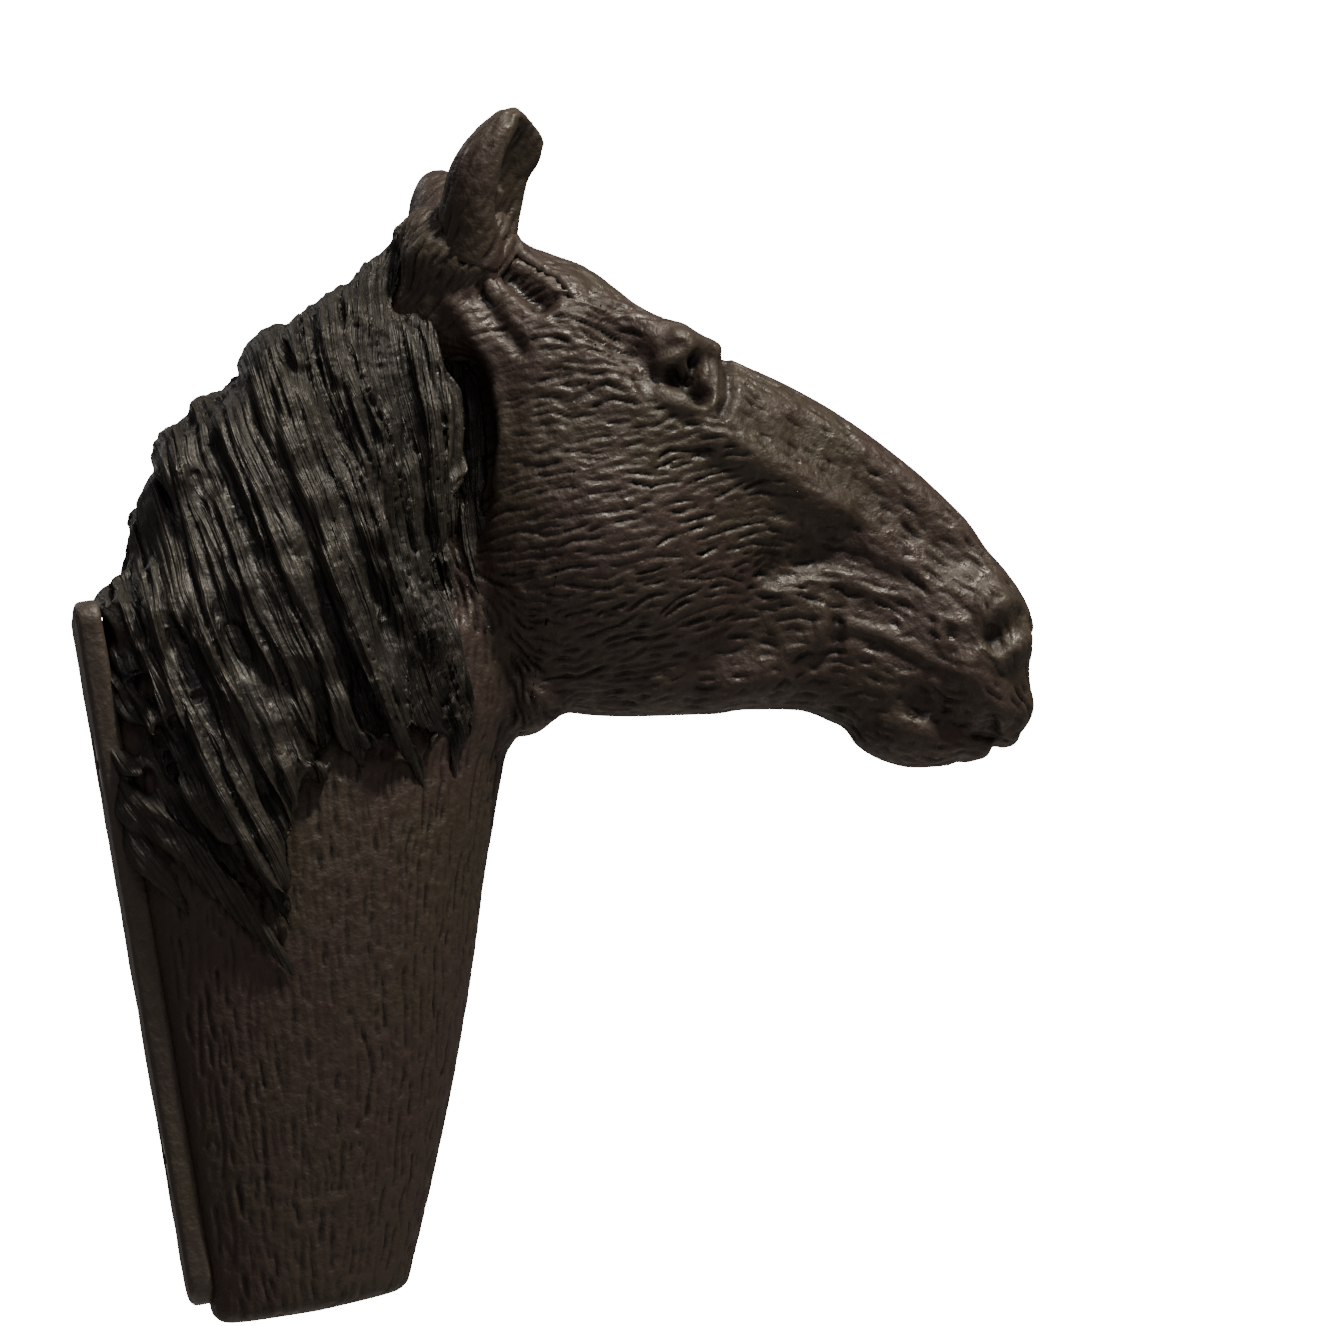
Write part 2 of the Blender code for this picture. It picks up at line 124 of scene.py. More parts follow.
def spotsOf(piece):
    # vertex places in mm, and the normals there
    mesh = piece.data
    spots = np.empty(len(mesh.vertices) * 3)
    mesh.vertices.foreach_get("co", spots)
    normals = np.empty(len(mesh.vertices) * 3)
    mesh.vertex_normals.foreach_get("vector", normals)
    return spots.reshape(-1, 3) / mm, normals.reshape(-1, 3)


def moveSpots(piece, spots):
    piece.data.vertices.foreach_set("co", (spots * mm).ravel())
    piece.data.update()


def runOnBack(spots, reach, start, fade=1.4):
    # everything behind `start` runs on backwards, by up to `reach`
    spots[:, 0] -= reach * np.clip((start - spots[:, 0]) / fade, 0, 1)


def someSpots(spots, count):
    return [spots[i] for i in rng.permutation(len(spots))[:count]]


def noteValues(piece, values, mark):
    mesh = piece.data
    layer = mesh.attributes.get(mark) or mesh.attributes.new(mark, "FLOAT", "POINT")
    layer.data.foreach_set("value", np.asarray(values, np.float32))


def noteVectors(piece, rows, mark):
    layer = piece.data.attributes.new(mark, "FLOAT_VECTOR", "POINT")
    layer.data.foreach_set("vector", rows.astype(np.float32).ravel())


def noteRelief(piece, rounds=26):
    # how far each spot stands proud of the softened surface, in mm: the finishes paint shade where it sits
    # low, and wear with a painted highlight where it sits high
    twin = twinOf(piece, "softTwin")
    soften(twin, rounds)
    flat, smooth = spotsOf(twin)
    spots, _ = spotsOf(piece)
    bpy.data.objects.remove(twin)
    noteValues(piece, ((spots - flat) * smooth).sum(1), "relief")


def treeOf(piece):
    # the surface as a search tree, in mm
    spots, _ = spotsOf(piece)
    faces = [tuple(face.vertices) for face in piece.data.polygons]
    return BVHTree.FromPolygons([tuple(spot) for spot in spots], faces)


def smoothLine(points, step=0.2):
    # a Catmull-Rom line through the points, read every `step` mm
    rows = np.array(points, float)
    if len(rows) == 1:
        return rows
    padded = np.vstack([2 * rows[0] - rows[1], rows, 2 * rows[-1] - rows[-2]])
    line = []
    for i in range(len(rows) - 1):
        a, b, c, d = padded[i : i + 4]
        count = max(2, int(np.linalg.norm(c - b) / step))
        for t in np.arange(count) / count:
            bend = 2 * a - 5 * b + 4 * c - d
            twist = 3 * b - a - 3 * c + d
            line.append(0.5 * (2 * b + (c - a) * t + bend * t * t + twist * t**3))
    line.append(rows[-1])
    return np.array(line)


def dropOnto(tree, x, z, side):
    # the outermost surface point seen from that side
    hit = tree.ray_cast(Vector((x, side * 40.0, z)), Vector((0, -side, 0)))
    if hit[0] is None:
        hit = tree.find_nearest(Vector((x, side * 2.0, z)))
    return hit[0]


def headLine(tree, points, side):
    return np.array([dropOnto(tree, x, z, side) for x, z in smoothLine([headPoint(*p) for p in points])])


def bell(spots, line, reach):
    # 1 on the line, falling smoothly to 0 at `reach`
    low, high = line.min(0) - reach, line.max(0) + reach
    near = np.flatnonzero(np.all((spots > low) & (spots < high), axis=1))
    weight = np.zeros(len(spots))
    if len(near):
        gaps = np.full(len(near), 1e9)
        for start in range(0, len(line), 16):
            part = line[start : start + 16]
            apart = np.linalg.norm(spots[near][:, None] - part[None], axis=2)
            gaps = np.minimum(gaps, apart.min(1))
        weight[near] = np.clip(1 - (gaps / reach) ** 2, 0, 1) ** 2
    return weight


def sculpt(piece, strokes):
    # each stroke: (points as (s, h), reach, rise), on both sides, rise > 0 builds up and < 0 cuts in
    tree = treeOf(piece)
    spots, normals = spotsOf(piece)
    shift = np.zeros(len(spots))
    for points, reach, rise in strokes:
        for side in (-1, 1):
            facing = np.clip(normals[:, 1] * side * 2 + 0.9, 0, 1)
            shift += rise * bell(spots, headLine(tree, points, side), reach) * facing
    moveSpots(piece, spots + normals * shift[:, None])


print("frame loaded")

carving = {
    # voxel sizes, and the rounds of smoothing after each stage
    "coarse": 0.45, "coarseMelt": 12, "fine": 0.2, "fineMelt": 4, "lastMelt": 2,
    "backReach": 0.7, "backStart": 3.4,  # how far the flat back runs on into the plate
    # how far the front of the neck, from this x on, is drawn in at each z
    "neckFront": 18.0, "neckFade": 4.0,
    "neckIn": ((-16.0, -6.0, 4.0, 9.2, 12.0), (0.0, 0.25, 0.35, 0.85, 0.0)),
    # bulges on both sides that are melted into the block: (s, h, y, radius)
    "bulges": [
        # eye and brow
        (17.0, 3.8, 5.6, 2.3), (13.0, 4.7, 5.8, 1.9), (14.7, 5.3, 6.1, 1.9), (16.4, 5.8, 5.3, 1.7),
        # foot of the ear
        (-2.2, 0.9, 4.0, 2.9), (-0.3, 1.5, 4.6, 2.8), (-0.9, 4.0, 4.5, 2.5), (-3.6, 2.2, 2.6, 2.5),
    ],
    "throat": (31.0, 12.9, 2.5, (-3.0, 0.0, 3.0)),  # x, z, radius and y of the web under the throat
}
# broad forms of the head: (points as (s, h), reach, rise), mm
broadForms = [
    ([(18.8, -9.6)], 10.5, 1.0),  # round of the cheek
    ([(4.0, -5.4), (7.0, -9.0), (9.2, -15.0), (11.2, -18.8)], 3.1, -2.2),  # behind the cheek
    ([(29.8, -13.2), (30.6, -8.6), (29.6, -4.0), (32.4, 1.0)], 2.8, -0.7),  # in front of the cheek
    ([(10.6, 3.4), (13.0, 2.8), (15.0, 2.4)], 2.4, -1.0),  # hollow under the brow
    ([(21.0, 1.6), (26.0, 2.2), (31.0, 2.6)], 2.0, 0.7),  # cheek bone
    ([(26.0, 5.6), (34.0, 5.2), (40.0, 5.0)], 2.4, -0.5),  # flat beside the nose
    ([(33.0, -2.0), (38.0, -0.5)], 3.2, -0.4),  # hollow before the muzzle
    ([(44.5, 3.6), (47.0, 2.4)], 2.6, 0.9),  # nostril swelling
    ([(43.6, -7.6)], 3.4, 0.15),  # chin
    ([(45.6, -0.6), (48.8, -1.6)], 2.2, 0.8),  # upper lip
    ([(44.0, -4.4), (47.4, -4.4), (49.6, -4.0)], 1.9, -0.9),  # shade below the upper lip
    ([(34.0, -9.6), (28.0, -15.0)], 2.4, 0.6),  # jaw bar
    # rim of the cheek
    ([(0.5, -1.5), (2.6, -2.4), (4.4, -3.6), (7.0, -5.6), (8.6, -7.4), (9.6, -10.2)], 1.2, 0.5),
]
# finer forms
fineForms = [
    ([(16.7, 5.0), (17.1, 4.3)], 0.95, -0.95),  # opening of the eye
    ([(16.0, 3.1), (17.3, 3.4), (18.2, 3.2)], 1.1, -1.35),
    ([(11.8, 3.2), (13.2, 3.0), (14.6, 2.4)], 1.4, -0.3),  # shade under the brow
    ([(14.6, 5.6), (16.0, 6.3), (17.3, 7.0)], 1.0, 0.4),  # edge of the brow
    ([(14.6, 3.2), (15.2, 4.3), (15.7, 5.3)], 0.8, 0.4),  # upper lid
    ([(17.3, 6.5), (18.2, 5.2), (19.0, 3.9), (19.3, 3.0)], 0.5, 0.3),  # front rim of the eye
    ([(15.8, 1.7), (17.2, 1.6), (18.6, 2.1)], 0.6, 0.1),  # lower lid
    ([(18.0, 7.9), (19.0, 6.3), (19.9, 4.6), (20.2, 3.2)], 0.8, -0.5),  # crease before the eye
    ([(2.8, 2.8), (4.0, 2.5), (5.2, 2.3)], 1.5, -1.2),  # hollow under the forelock
    ([(14.2, 1.4), (16.2, 0.6), (18.6, 0.9)], 0.7, -0.2),
    ([(45.4, 1.8), (46.0, 3.0), (46.4, 4.4)], 1.6, -0.8),  # nostril
    ([(47.4, 4.7), (48.2, 3.9)], 1.0, -0.8),
    ([(44.3, 4.4), (43.9, 2.8), (44.6, 0.8), (46.6, 0.4)], 1.0, 0.25),  # rim of the nostril
    ([(42.9, 1.2), (41.8, 0.9), (41.6, 0.0), (42.2, -0.7)], 0.7, 0.25),
    ([(42.5, 0.2)], 0.7, -0.12),
    # mouth
    ([(36.1, -4.9), (37.0, -3.9), (40.0, -3.3), (43.7, -2.9), (46.7, -2.9), (49.1, -3.2)], 0.8, -0.2),
    ([(48.4, -3.2), (49.4, -3.5), (50.6, -3.8)], 0.8, -0.35),
    ([(36.4, -3.4), (39.6, -2.5), (42.4, -2.3)], 0.9, 0.15),
    ([(35.4, -3.6), (36.6, -5.4), (36.0, -7.2)], 0.8, -0.3),  # corner of the mouth
    ([(33.8, -3.2), (34.8, -5.2), (34.0, -7.4)], 0.9, 0.3),
    ([(41.0, -8.8), (42.0, -6.6), (44.0, -5.8)], 1.1, -0.2),
    ([(29.4, -4.0), (31.0, -1.6), (33.6, 0.4), (38.2, 1.6)], 1.2, -0.25),  # fold over the muzzle
    ([(30.8, -4.6), (33.4, -1.4), (37.4, -0.2)], 1.2, 0.28),
    ([(1.6, 0.6), (3.6, -0.8), (6.0, -1.6)], 1.0, -0.4),
]
# forms across the profile: (points as (s, h), half width, reach, rise)
profileForms = [
    ([(19.6, 8.0), (24.0, 8.2), (30.0, 8.7), (38.6, 7.8)], 1.6, 3.4, 0.55),  # bridge of the nose
    ([(16.0, -19.6), (24.0, -17.2), (32.0, -12.0)], 2.0, 2.4, 0.35),  # under the jaw
]
lipForms = [
    ([(40.6, -10.0)], 2.6, 1.7, -0.6),  # back of the chin
    ([(50.7, -0.6)], 2.6, 2.0, 0.4),  # upper lip
    ([(50.6, -4.0)], 3.0, 0.9, -0.55),  # between the lips
    ([(50.9, -2.6)], 3.0, 0.9, 0.35),
    ([(48.6, -6.0)], 2.6, 0.8, -0.25),
]


def acrossLine(points, half):
    # the points in the side view, each spread from -half to half across the ornament
    line = [headPoint(*p) for p in smoothLine(points, 0.6)]
    return np.array([(x, y, z) for x, z in line for y in np.linspace(-half, half, 13)])


def profiled(piece, forms):
    # the piece's spots, with the forms built up or cut in
    spots, normals = spotsOf(piece)
    for points, half, reach, rise in forms:
        spots = spots + normals * (rise * bell(spots, acrossLine(points, half), reach))[:, None]
    return spots


def addBall(x, y, z, radius, segments=48):
    deselectAll()
    bpy.ops.mesh.primitive_uv_sphere_add(
        segments=segments, ring_count=segments * 2 // 3, radius=radius * mm, location=(x * mm, y * mm, z * mm)
    )
    bpy.ops.object.transform_apply(location=True, rotation=True, scale=True)
    return bpy.context.object


def makeCarving():
    block = copyOfNode("head_and_neck", "carvedBlock")
    balls = []
    for s, h, y, radius in carving["bulges"]:
        x, z = headPoint(s, h)
        balls += [addBall(x, side * y, z, radius) for side in (-1, 1)]
    x, z, radius, rows = carving["throat"]
    balls += [addBall(x, y, z, radius) for y in rows]
    block = joined([block] + balls, "carvedBlock")
    remesh(block, carving["coarse"])
    soften(block, carving["coarseMelt"])
    sculpt(block, broadForms)
    spots = profiled(block, profileForms)
    front = np.clip((spots[:, 0] - carving["neckFront"]) / carving["neckFade"], 0, 1)
    spots[:, 0] -= front * np.interp(spots[:, 2], *carving["neckIn"])
    moveSpots(block, spots)
    remesh(block, carving["fine"])
    soften(block, carving["fineMelt"])
    sculpt(block, fineForms)
    spots = profiled(block, lipForms)
    runOnBack(spots, carving["backReach"], carving["backStart"])
    moveSpots(block, spots)
    soften(block, carving["lastMelt"])
    return block


def readGuides(guides):
    # guides: (x, z, angle) in the side view, the angle in degrees above the way the horse looks
    places = np.array([guide[:2] for guide in guides], float)
    angles = np.radians([guide[2] for guide in guides])
    return places, np.column_stack([np.cos(angles), np.sin(angles)])


def flowField(guides, reach=5.0, over=0.0):
    # the lie of the hair; `over` leads it down from the crest
    places, ways = readGuides(guides)

    def flow(spot, normal):
        apart = (places[:, 0] - spot[0]) ** 2 + (places[:, 1] - spot[2]) ** 2
        share = 1 / (apart + reach) ** 2
        way = (ways * share[:, None]).sum(0)
        way /= np.hypot(*way) + 1e-9
        return Vector((way[0], -over * max(0.0, 1 - abs(normal.y) * 1.1), way[1]))

    return flow


# what most strokes share; lengths are in mm and rooms are shares of the gap
usualStrokes = {"seedRoom": 0.9, "runRoom": 0.6, "step": 0.3, "ripple": 0.4, "sway": 0.4}


def combLines(tree, seeds, flow, style, inside=None):
    # lines laid side by side about `gap` apart, none crossing another
    style = usualStrokes | style
    gap, step = style["gap"], style["step"]
    cells, lines = {}, []

    def crowded(spot, room, own):
        key = tuple(int(math.floor(v / gap)) for v in spot)
        for dx in (-1, 0, 1):
            for dy in (-1, 0, 1):
                for dz in (-1, 0, 1):
                    for other, line in cells.get((key[0] + dx, key[1] + dy, key[2] + dz), ()):
                        if line != own and (other - spot).length < room:
                            return True
        return False

    for number, seed in enumerate(seeds):
        seed = Vector(seed)
        if crowded(seed, gap * style["seedRoom"], -1):
            continue
        wanted = rng.uniform(*style["length"])
        wander = rng.uniform(-1, 1) * style["wander"]
        past = rng.uniform(0, 1)
        halves = []
        for sense in (1, -1):
            half, spot, run = [], seed.copy(), 0.0
            while run < wanted / 2:
                found, normal, _, _ = tree.find_nearest(spot)
                way = flow(found, normal)
                way = (way - normal * way.dot(normal)) * sense
                if way.length < 1e-4:
                    break
                way.normalize()
                ripple = noise.noise(found * style["ripple"]) * style["sway"] + wander
                way = (way + normal.cross(way) * ripple * sense).normalized()
                if run and crowded(found, gap * style["runRoom"], number):
                    break
                if inside and not inside(found, past):
                    break
                half.append(found.copy())
                spot = found + way * step
                run += step
            halves.append(half)
        line = halves[1][::-1][:-1] + halves[0]
        if len(line) * step < style["shortest"]:
            continue
        for spot in line:
            key = tuple(int(math.floor(v / gap)) for v in spot)
            cells.setdefault(key, []).append((spot, number))
        lines.append(line)
    return lines


def engrave(piece, lines, style):
    # cuts a round-bottomed groove along each line, uneven in depth and fading at its ends
    near, depths, widths = KDTree(sum(3 * len(line) for line in lines)), [], []
    for line in lines:
        deep = rng.uniform(*style["depth"])
        wide = rng.uniform(*style["width"])
        last = len(line) - 1
        for i, spot in enumerate(line):
            uneven = 0.8 + 0.5 * noise.noise(spot * 1.1)
            for part in (0.0, 1 / 3, 2 / 3):
                place = i + part
                fade = min(1.0, place / 2.5 + 0.15, (last - place) / 2.5 + 0.15)
                near.insert(spot.lerp(line[min(i + 1, last)], part), len(depths))
                depths.append(deep * uneven * max(fade, 0.0))
                widths.append(wide * (0.7 + 0.3 * fade))
    near.balance()
    spots, normals = spotsOf(piece)
    cut = np.zeros(len(spots))
    for i, spot in enumerate(spots):
        _, which, apart = near.find(spot)
        if apart < widths[which]:
            cut[i] = depths[which] * (1 - (apart / widths[which]) ** 2) ** 1.5
    moveSpots(piece, spots - normals * cut[:, None])


coatFlow = flowField([
    (33.0, 37.0, 2), (32.5, 30.0, 0), (32.5, 24.0, 2), (35.0, 17.0, 8), (38.0, 26.0, -2), (41.0, 20.0, 6),
    (43.0, 29.0, 4), (46.0, 24.0, 14), (40.0, 38.0, -24), (45.0, 37.0, -30), (50.0, 30.0, -42),
    (55.0, 24.0, -44), (60.0, 18.0, -50), (64.0, 12.0, -64), (51.0, 21.0, -14), (55.0, 15.0, -30),
    (60.0, 10.0, -30), (48.0, 12.0, -10), (52.0, 9.0, -12), (58.0, 4.0, -22), (36.0, 11.0, -6),
    (29.0, 45.0, 40), (32.0, 44.0, 42), (8.0, 20.0, -98), (8.0, 0.0, -96), (6.0, -20.0, -94),
    (16.0, 4.0, -97), (13.0, -20.0, -102), (22.0, 4.0, -104), (27.0, 10.0, -112),
    (26.0, 16.0, -100), (24.0, 28.0, -96), (14.0, 34.0, -110),
])
coatStrokes = {
    "cheek": {
        "gap": 0.52, "runRoom": 0.58, "length": (2.4, 7.5), "shortest": 1.0, "wander": 0.09,
        "ripple": 0.45, "sway": 0.7, "depth": (0.14, 0.38), "width": (0.21, 0.32),
    },
    "nose": {
        "gap": 0.74, "seedRoom": 1.0, "length": (0.8, 2.8), "shortest": 0.6, "wander": 0.12,
        "sway": 0.6, "depth": (0.10, 0.26), "width": (0.22, 0.31),
    },
    "muzzle": {
        "gap": 0.68, "seedRoom": 0.95, "length": (1.2, 4.4), "shortest": 0.8, "wander": 0.2,
        "ripple": 0.35, "sway": 1.1, "depth": (0.08, 0.30), "width": (0.22, 0.36),
    },
    "neck": {
        "gap": 0.5, "length": (2.2, 8.0), "shortest": 0.9, "wander": 0.09,
        "ripple": 0.5, "depth": (0.07, 0.24), "width": (0.21, 0.30),
    },
}


def areaOf(spot):
    # the style of stroke that belongs to a place
    if spot[0] < 27.0 + 0.35 * (spot[2] - 8.0) and spot[2] < 44.0:
        return "neck"
    s, h = headPlace(spot[0], spot[2])
    if s > 34.0 + 0.5 * h:
        return "muzzle"
    return "nose" if s > 19.5 and h > 2.5 - 0.43 * (s - 19.5) else "cheek"


bareEye = (16.6, 4.6, 7.0, 3.7)  # s, h, y and radius of the bare skin round the eye
bareEdge = {"back": 2.6, "foot": -26.4}  # no strokes beyond this x and this z


def clearOfEye(spot, past):
    s, h, out, clear = bareEye
    x, z = headPoint(s, h)
    return (Vector((x, out, z)) - Vector((spot[0], abs(spot[1]), spot[2]))).length > clear


def carveCoat(piece):
    tree = treeOf(piece)
    spots = someSpots(spotsOf(piece)[0], 90000)
    outer = [spot for spot in spots if spot[0] > bareEdge["back"] and spot[2] > bareEdge["foot"]]
    for area, style in coatStrokes.items():
        seeds = [spot for spot in outer if areaOf(spot) == area]
        lines = combLines(tree, seeds, coatFlow, style, clearOfEye)
        print("strokes on the", area, len(lines))
        engrave(piece, lines, style)


block = makeCarving()
print("block carved:", len(block.data.vertices))
hairBase = twinOf(block, "hairBase")
carveCoat(block)
noteRelief(block)


def newFinish(name):
    finish = bpy.data.materials.new(name)
    finish.use_nodes = True
    tree = finish.node_tree
    return finish, tree.nodes, tree.links, tree.nodes["Principled BSDF"]


def ownPlace(nodes):
    return nodes.new("ShaderNodeTexCoord").outputs["Object"]


def addNoise(nodes, links, place, scale, detail):
    node = nodes.new("ShaderNodeTexNoise")
    node.inputs["Scale"].default_value = scale
    node.inputs["Detail"].default_value = detail
    links.new(place, node.inputs["Vector"])
    return node.outputs["Fac"]


def addMark(nodes, mark):
    node = nodes.new("ShaderNodeAttribute")
    node.attribute_name = mark
    return node.outputs


def addBump(nodes, links, height, strength, distance, under=None):
    node = nodes.new("ShaderNodeBump")
    node.inputs["Strength"].default_value = strength
    node.inputs["Distance"].default_value = distance
    links.new(height, node.inputs["Height"])
    if under:
        links.new(under, node.inputs["Normal"])
    return node.outputs["Normal"]


def addRange(nodes, links, source, low, high, toLow=0.0, toHigh=1.0):
    node = nodes.new("ShaderNodeMapRange")
    node.inputs["From Min"].default_value = low
    node.inputs["From Max"].default_value = high
    node.inputs["To Min"].default_value = toLow
    node.inputs["To Max"].default_value = toHigh
    links.new(source, node.inputs["Value"])
    return node.outputs["Result"]


def addMix(nodes, links, share, first, second):
    # a colour or a socket for each side
    node = nodes.new("ShaderNodeMix")
    node.data_type = "RGBA"
    links.new(share, node.inputs["Factor"])
    for socket, value in ((node.inputs[6], first), (node.inputs[7], second)):
        if isinstance(value, tuple):
            socket.default_value = (*value, 1)
        else:
            links.new(value, socket)
    return node.outputs[2]


# per finish: the darkest colour is painted shade, laid on low spots such as grooves, creases and the eye
# socket, and on the dark streaks between hairs
coatLook = {
    "hollow": (0.0060, 0.0042, 0.0038), "base": (0.0292, 0.0190, 0.0166), "olive": (0.0275, 0.0215, 0.0148),
    "worn": (0.048, 0.040, 0.031), "rough": (0.58, 0.80), "glint": 0.30, "grain": 0.3, "shine": 0.28,
    "patches": (0.44, 0.62),
}
hairLook = {
    "hollow": (0.0022, 0.0019, 0.0017), "base": (0.0122, 0.0102, 0.0087), "olive": (0.0165, 0.0140, 0.0100),
    "worn": (0.0192, 0.0168, 0.0136), "rough": (0.48, 0.70), "glint": 0.34, "grain": 0.2, "shine": 0.30,
    # the streaks set by lines paint highlight and shade along the hairs
    "patches": (0.42, 0.60), "lines": (4.0, 0.10, 1.0),  # streaks across, along and round the mane
}
plateLook = {
    "hollow": (0.006, 0.005, 0.0045), "base": (0.031, 0.0235, 0.0200), "olive": (0.034, 0.028, 0.0195),
    "worn": (0.060, 0.050, 0.040), "rough": (0.46, 0.68), "glint": 0.3, "grain": 0.3, "shine": 0.35,
    "patches": (0.42, 0.60),
}


# shared by the three finishes: noise as (scale, detail), the rest as the ends of a range
stone = {
    "patches": (120.0, 4.0), "flecks": (1250.0, 3.0), "grain": (2600.0, 5.0), "streaks": (1.0, 3.0),
    # proud and fleck pick the spots lightened by wear and a painted highlight; low picks the spots darkened
    # by painted shade; pale and dark pick the painted highlight and painted shade streaked along the hairs
    "proud": (0.035, 0.11), "low": (-0.005, -0.11), "fleck": (0.48, 0.68, 0.3, 1.0), "rough": (0.3, 0.7),
    "pale": (0.56, 0.76, 0.0, 0.6), "dark": (0.46, 0.32, 0.0, 0.7),
    # depths of the bumps, and the strength of the grooves between hairs
    "grainDepth": 0.00025, "pitDepth": 0.0005, "grooveDepth": 0.0004, "grooves": 0.85,
}


def addStreaks(nodes, links, look):
    spread = nodes.new("ShaderNodeVectorMath")
    spread.operation = "MULTIPLY"
    spread.inputs[1].default_value = look["lines"]
    links.new(addMark(nodes, "comb")["Vector"], spread.inputs[0])
    return addNoise(nodes, links, spread.outputs["Vector"], *stone["streaks"])


def stoneFinish(name, look):
    finish, nodes, links, shader = newFinish(name)
    place = ownPlace(nodes)
    kinds = ("patches", "flecks", "grain")
    patches, flecks, grain = (addNoise(nodes, links, place, *stone[kind]) for kind in kinds)
    relief = addMark(nodes, "relief")["Fac"]
    tint = addRange(nodes, links, patches, *look["patches"])
    colour = addMix(nodes, links, tint, look["base"], look["olive"])
    fleck = addRange(nodes, links, flecks, *stone["fleck"])
    # wear with a painted highlight: proud spots are made lighter, in flecks
    wearAndSheen = nodes.new("ShaderNodeMath")
    wearAndSheen.operation = "MULTIPLY"
    links.new(addRange(nodes, links, relief, *stone["proud"]), wearAndSheen.inputs[0])
    links.new(fleck, wearAndSheen.inputs[1])
    colour = addMix(nodes, links, wearAndSheen.outputs[0], colour, look["worn"])
    # painted shade: the lower a spot sits, the darker it is made
    colour = addMix(nodes, links, addRange(nodes, links, relief, *stone["low"]), colour, look["hollow"])
    grooves = None
    if "lines" in look:
        # painted highlight on the pale streaks, and painted shade on the dark ones between the hairs
        streaks = addStreaks(nodes, links, look)
        colour = addMix(nodes, links, addRange(nodes, links, streaks, *stone["pale"]), colour, look["worn"])
        colour = addMix(nodes, links, addRange(nodes, links, streaks, *stone["dark"]), colour, look["hollow"])
        grooves = addBump(nodes, links, streaks, stone["grooves"], stone["grooveDepth"])
    links.new(colour, shader.inputs["Base Color"])
    glint = nodes.new("ShaderNodeMix")
    links.new(fleck, glint.inputs["Factor"])
    links.new(addRange(nodes, links, grain, *stone["rough"], *look["rough"]), glint.inputs["A"])
    glint.inputs["B"].default_value = look["glint"]
    links.new(glint.outputs["Result"], shader.inputs["Roughness"])
    bumps = addBump(nodes, links, grain, look["grain"], stone["grainDepth"], grooves)
    pits = addBump(nodes, links, flecks, look["grain"], stone["pitDepth"], bumps)
    links.new(pits, shader.inputs["Normal"])
    shader.inputs["Specular IOR Level"].default_value = look["shine"]
    return finish


coatFinish = stoneFinish("carvedCoat", coatLook)
hairFinish = stoneFinish("carvedHair", hairLook)
plateFinish = stoneFinish("plateWearSheenAndShade", plateLook)


def dress(piece, finish, slot, *nodes):
    piece.data.materials.clear()
    piece.data.materials.append(finish)
    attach(piece, "root")
    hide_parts(*nodes)


def halve(piece, name, point, way):
    # the half that lies on the `way` side, closed where it is cut
    half = twinOf(piece, name)
    cut = {"plane_co": Vector(point) * mm, "plane_no": way, "use_fill": True, "clear_inner": True}
    editWhole(half, bpy.ops.mesh.bisect, **cut)
    half.data.validate(clean_customdata=False)
    return half


def partAndDress(wholes, finish, slot, node):
    # each whole is parted down the middle, and keeps its own normals so that the cut doesn't show
    for whole in wholes:
        for label, side in (("Right", -1), ("Left", 1)):
            part = halve(whole, whole.name + label, (0, 0, 0), (0, side, 0))
            kept = np.empty(len(part.data.vertices) * 3, np.float32)
            part.data.attributes["outward"].data.foreach_get("vector", kept)
            part.data.shade_smooth()
            part.data.normals_split_custom_set_from_vertices(kept.reshape(-1, 3).tolist())
            part.data.attributes.remove(part.data.attributes["outward"])
            dress(part, finish, slot, node)
            print(part.name, len(part.data.polygons))
        bpy.data.objects.remove(whole)


def noteNormals(piece):
    noteVectors(piece, spotsOf(piece)[1], "outward")


throatCut = {"point": (29.0, 0, 9.0), "towardHead": (0.94, 0, -0.34)}  # parts the head from the neck


def partBlock(block):
    noteNormals(block)
    head = halve(block, "head", throatCut["point"], throatCut["towardHead"])
    neck = halve(block, "neck", throatCut["point"], [-v for v in throatCut["towardHead"]])
    partAndDress([head, neck], coatFinish, "carved_coat", "head_and_neck")
    bpy.data.objects.remove(block)


partBlock(block)

# one blank is modelled for all locks, and copies of it are laid along the paths of the hair
lockForm = {
    "around": 34, "under": 8, "rings": 40, "columns": 7,
    # width after the root, and thickness, from root to tip
    "girthAt": (0, 0.12, 0.45, 0.8, 0.94, 1.0), "girth": (0.85, 1.0, 0.72, 0.36, 0.03),
    "crestAt": (0, 0.15, 0.6, 0.92, 1.0), "crest": (0.4, 0.85, 1.0, 0.55, 0.06),
}


def makeBlank(form):
    deselectAll()
    bpy.ops.mesh.primitive_circle_add(vertices=form["around"], radius=1.0, location=(0, 0, 0))
    blank = bpy.context.object
    blank.name = "lockBlank"
    bpy.ops.object.mode_set(mode="EDIT")
    bpy.ops.mesh.select_all(action="SELECT")
    bpy.ops.mesh.edge_face_add()
    for _ in range(form["rings"] - 1):
        bpy.ops.mesh.extrude_region_move(TRANSFORM_OT_translate={"value": (0, 0, 1.0)})
    bpy.ops.mesh.normals_make_consistent(inside=False)
    bpy.ops.object.mode_set(mode="OBJECT")
    return blank


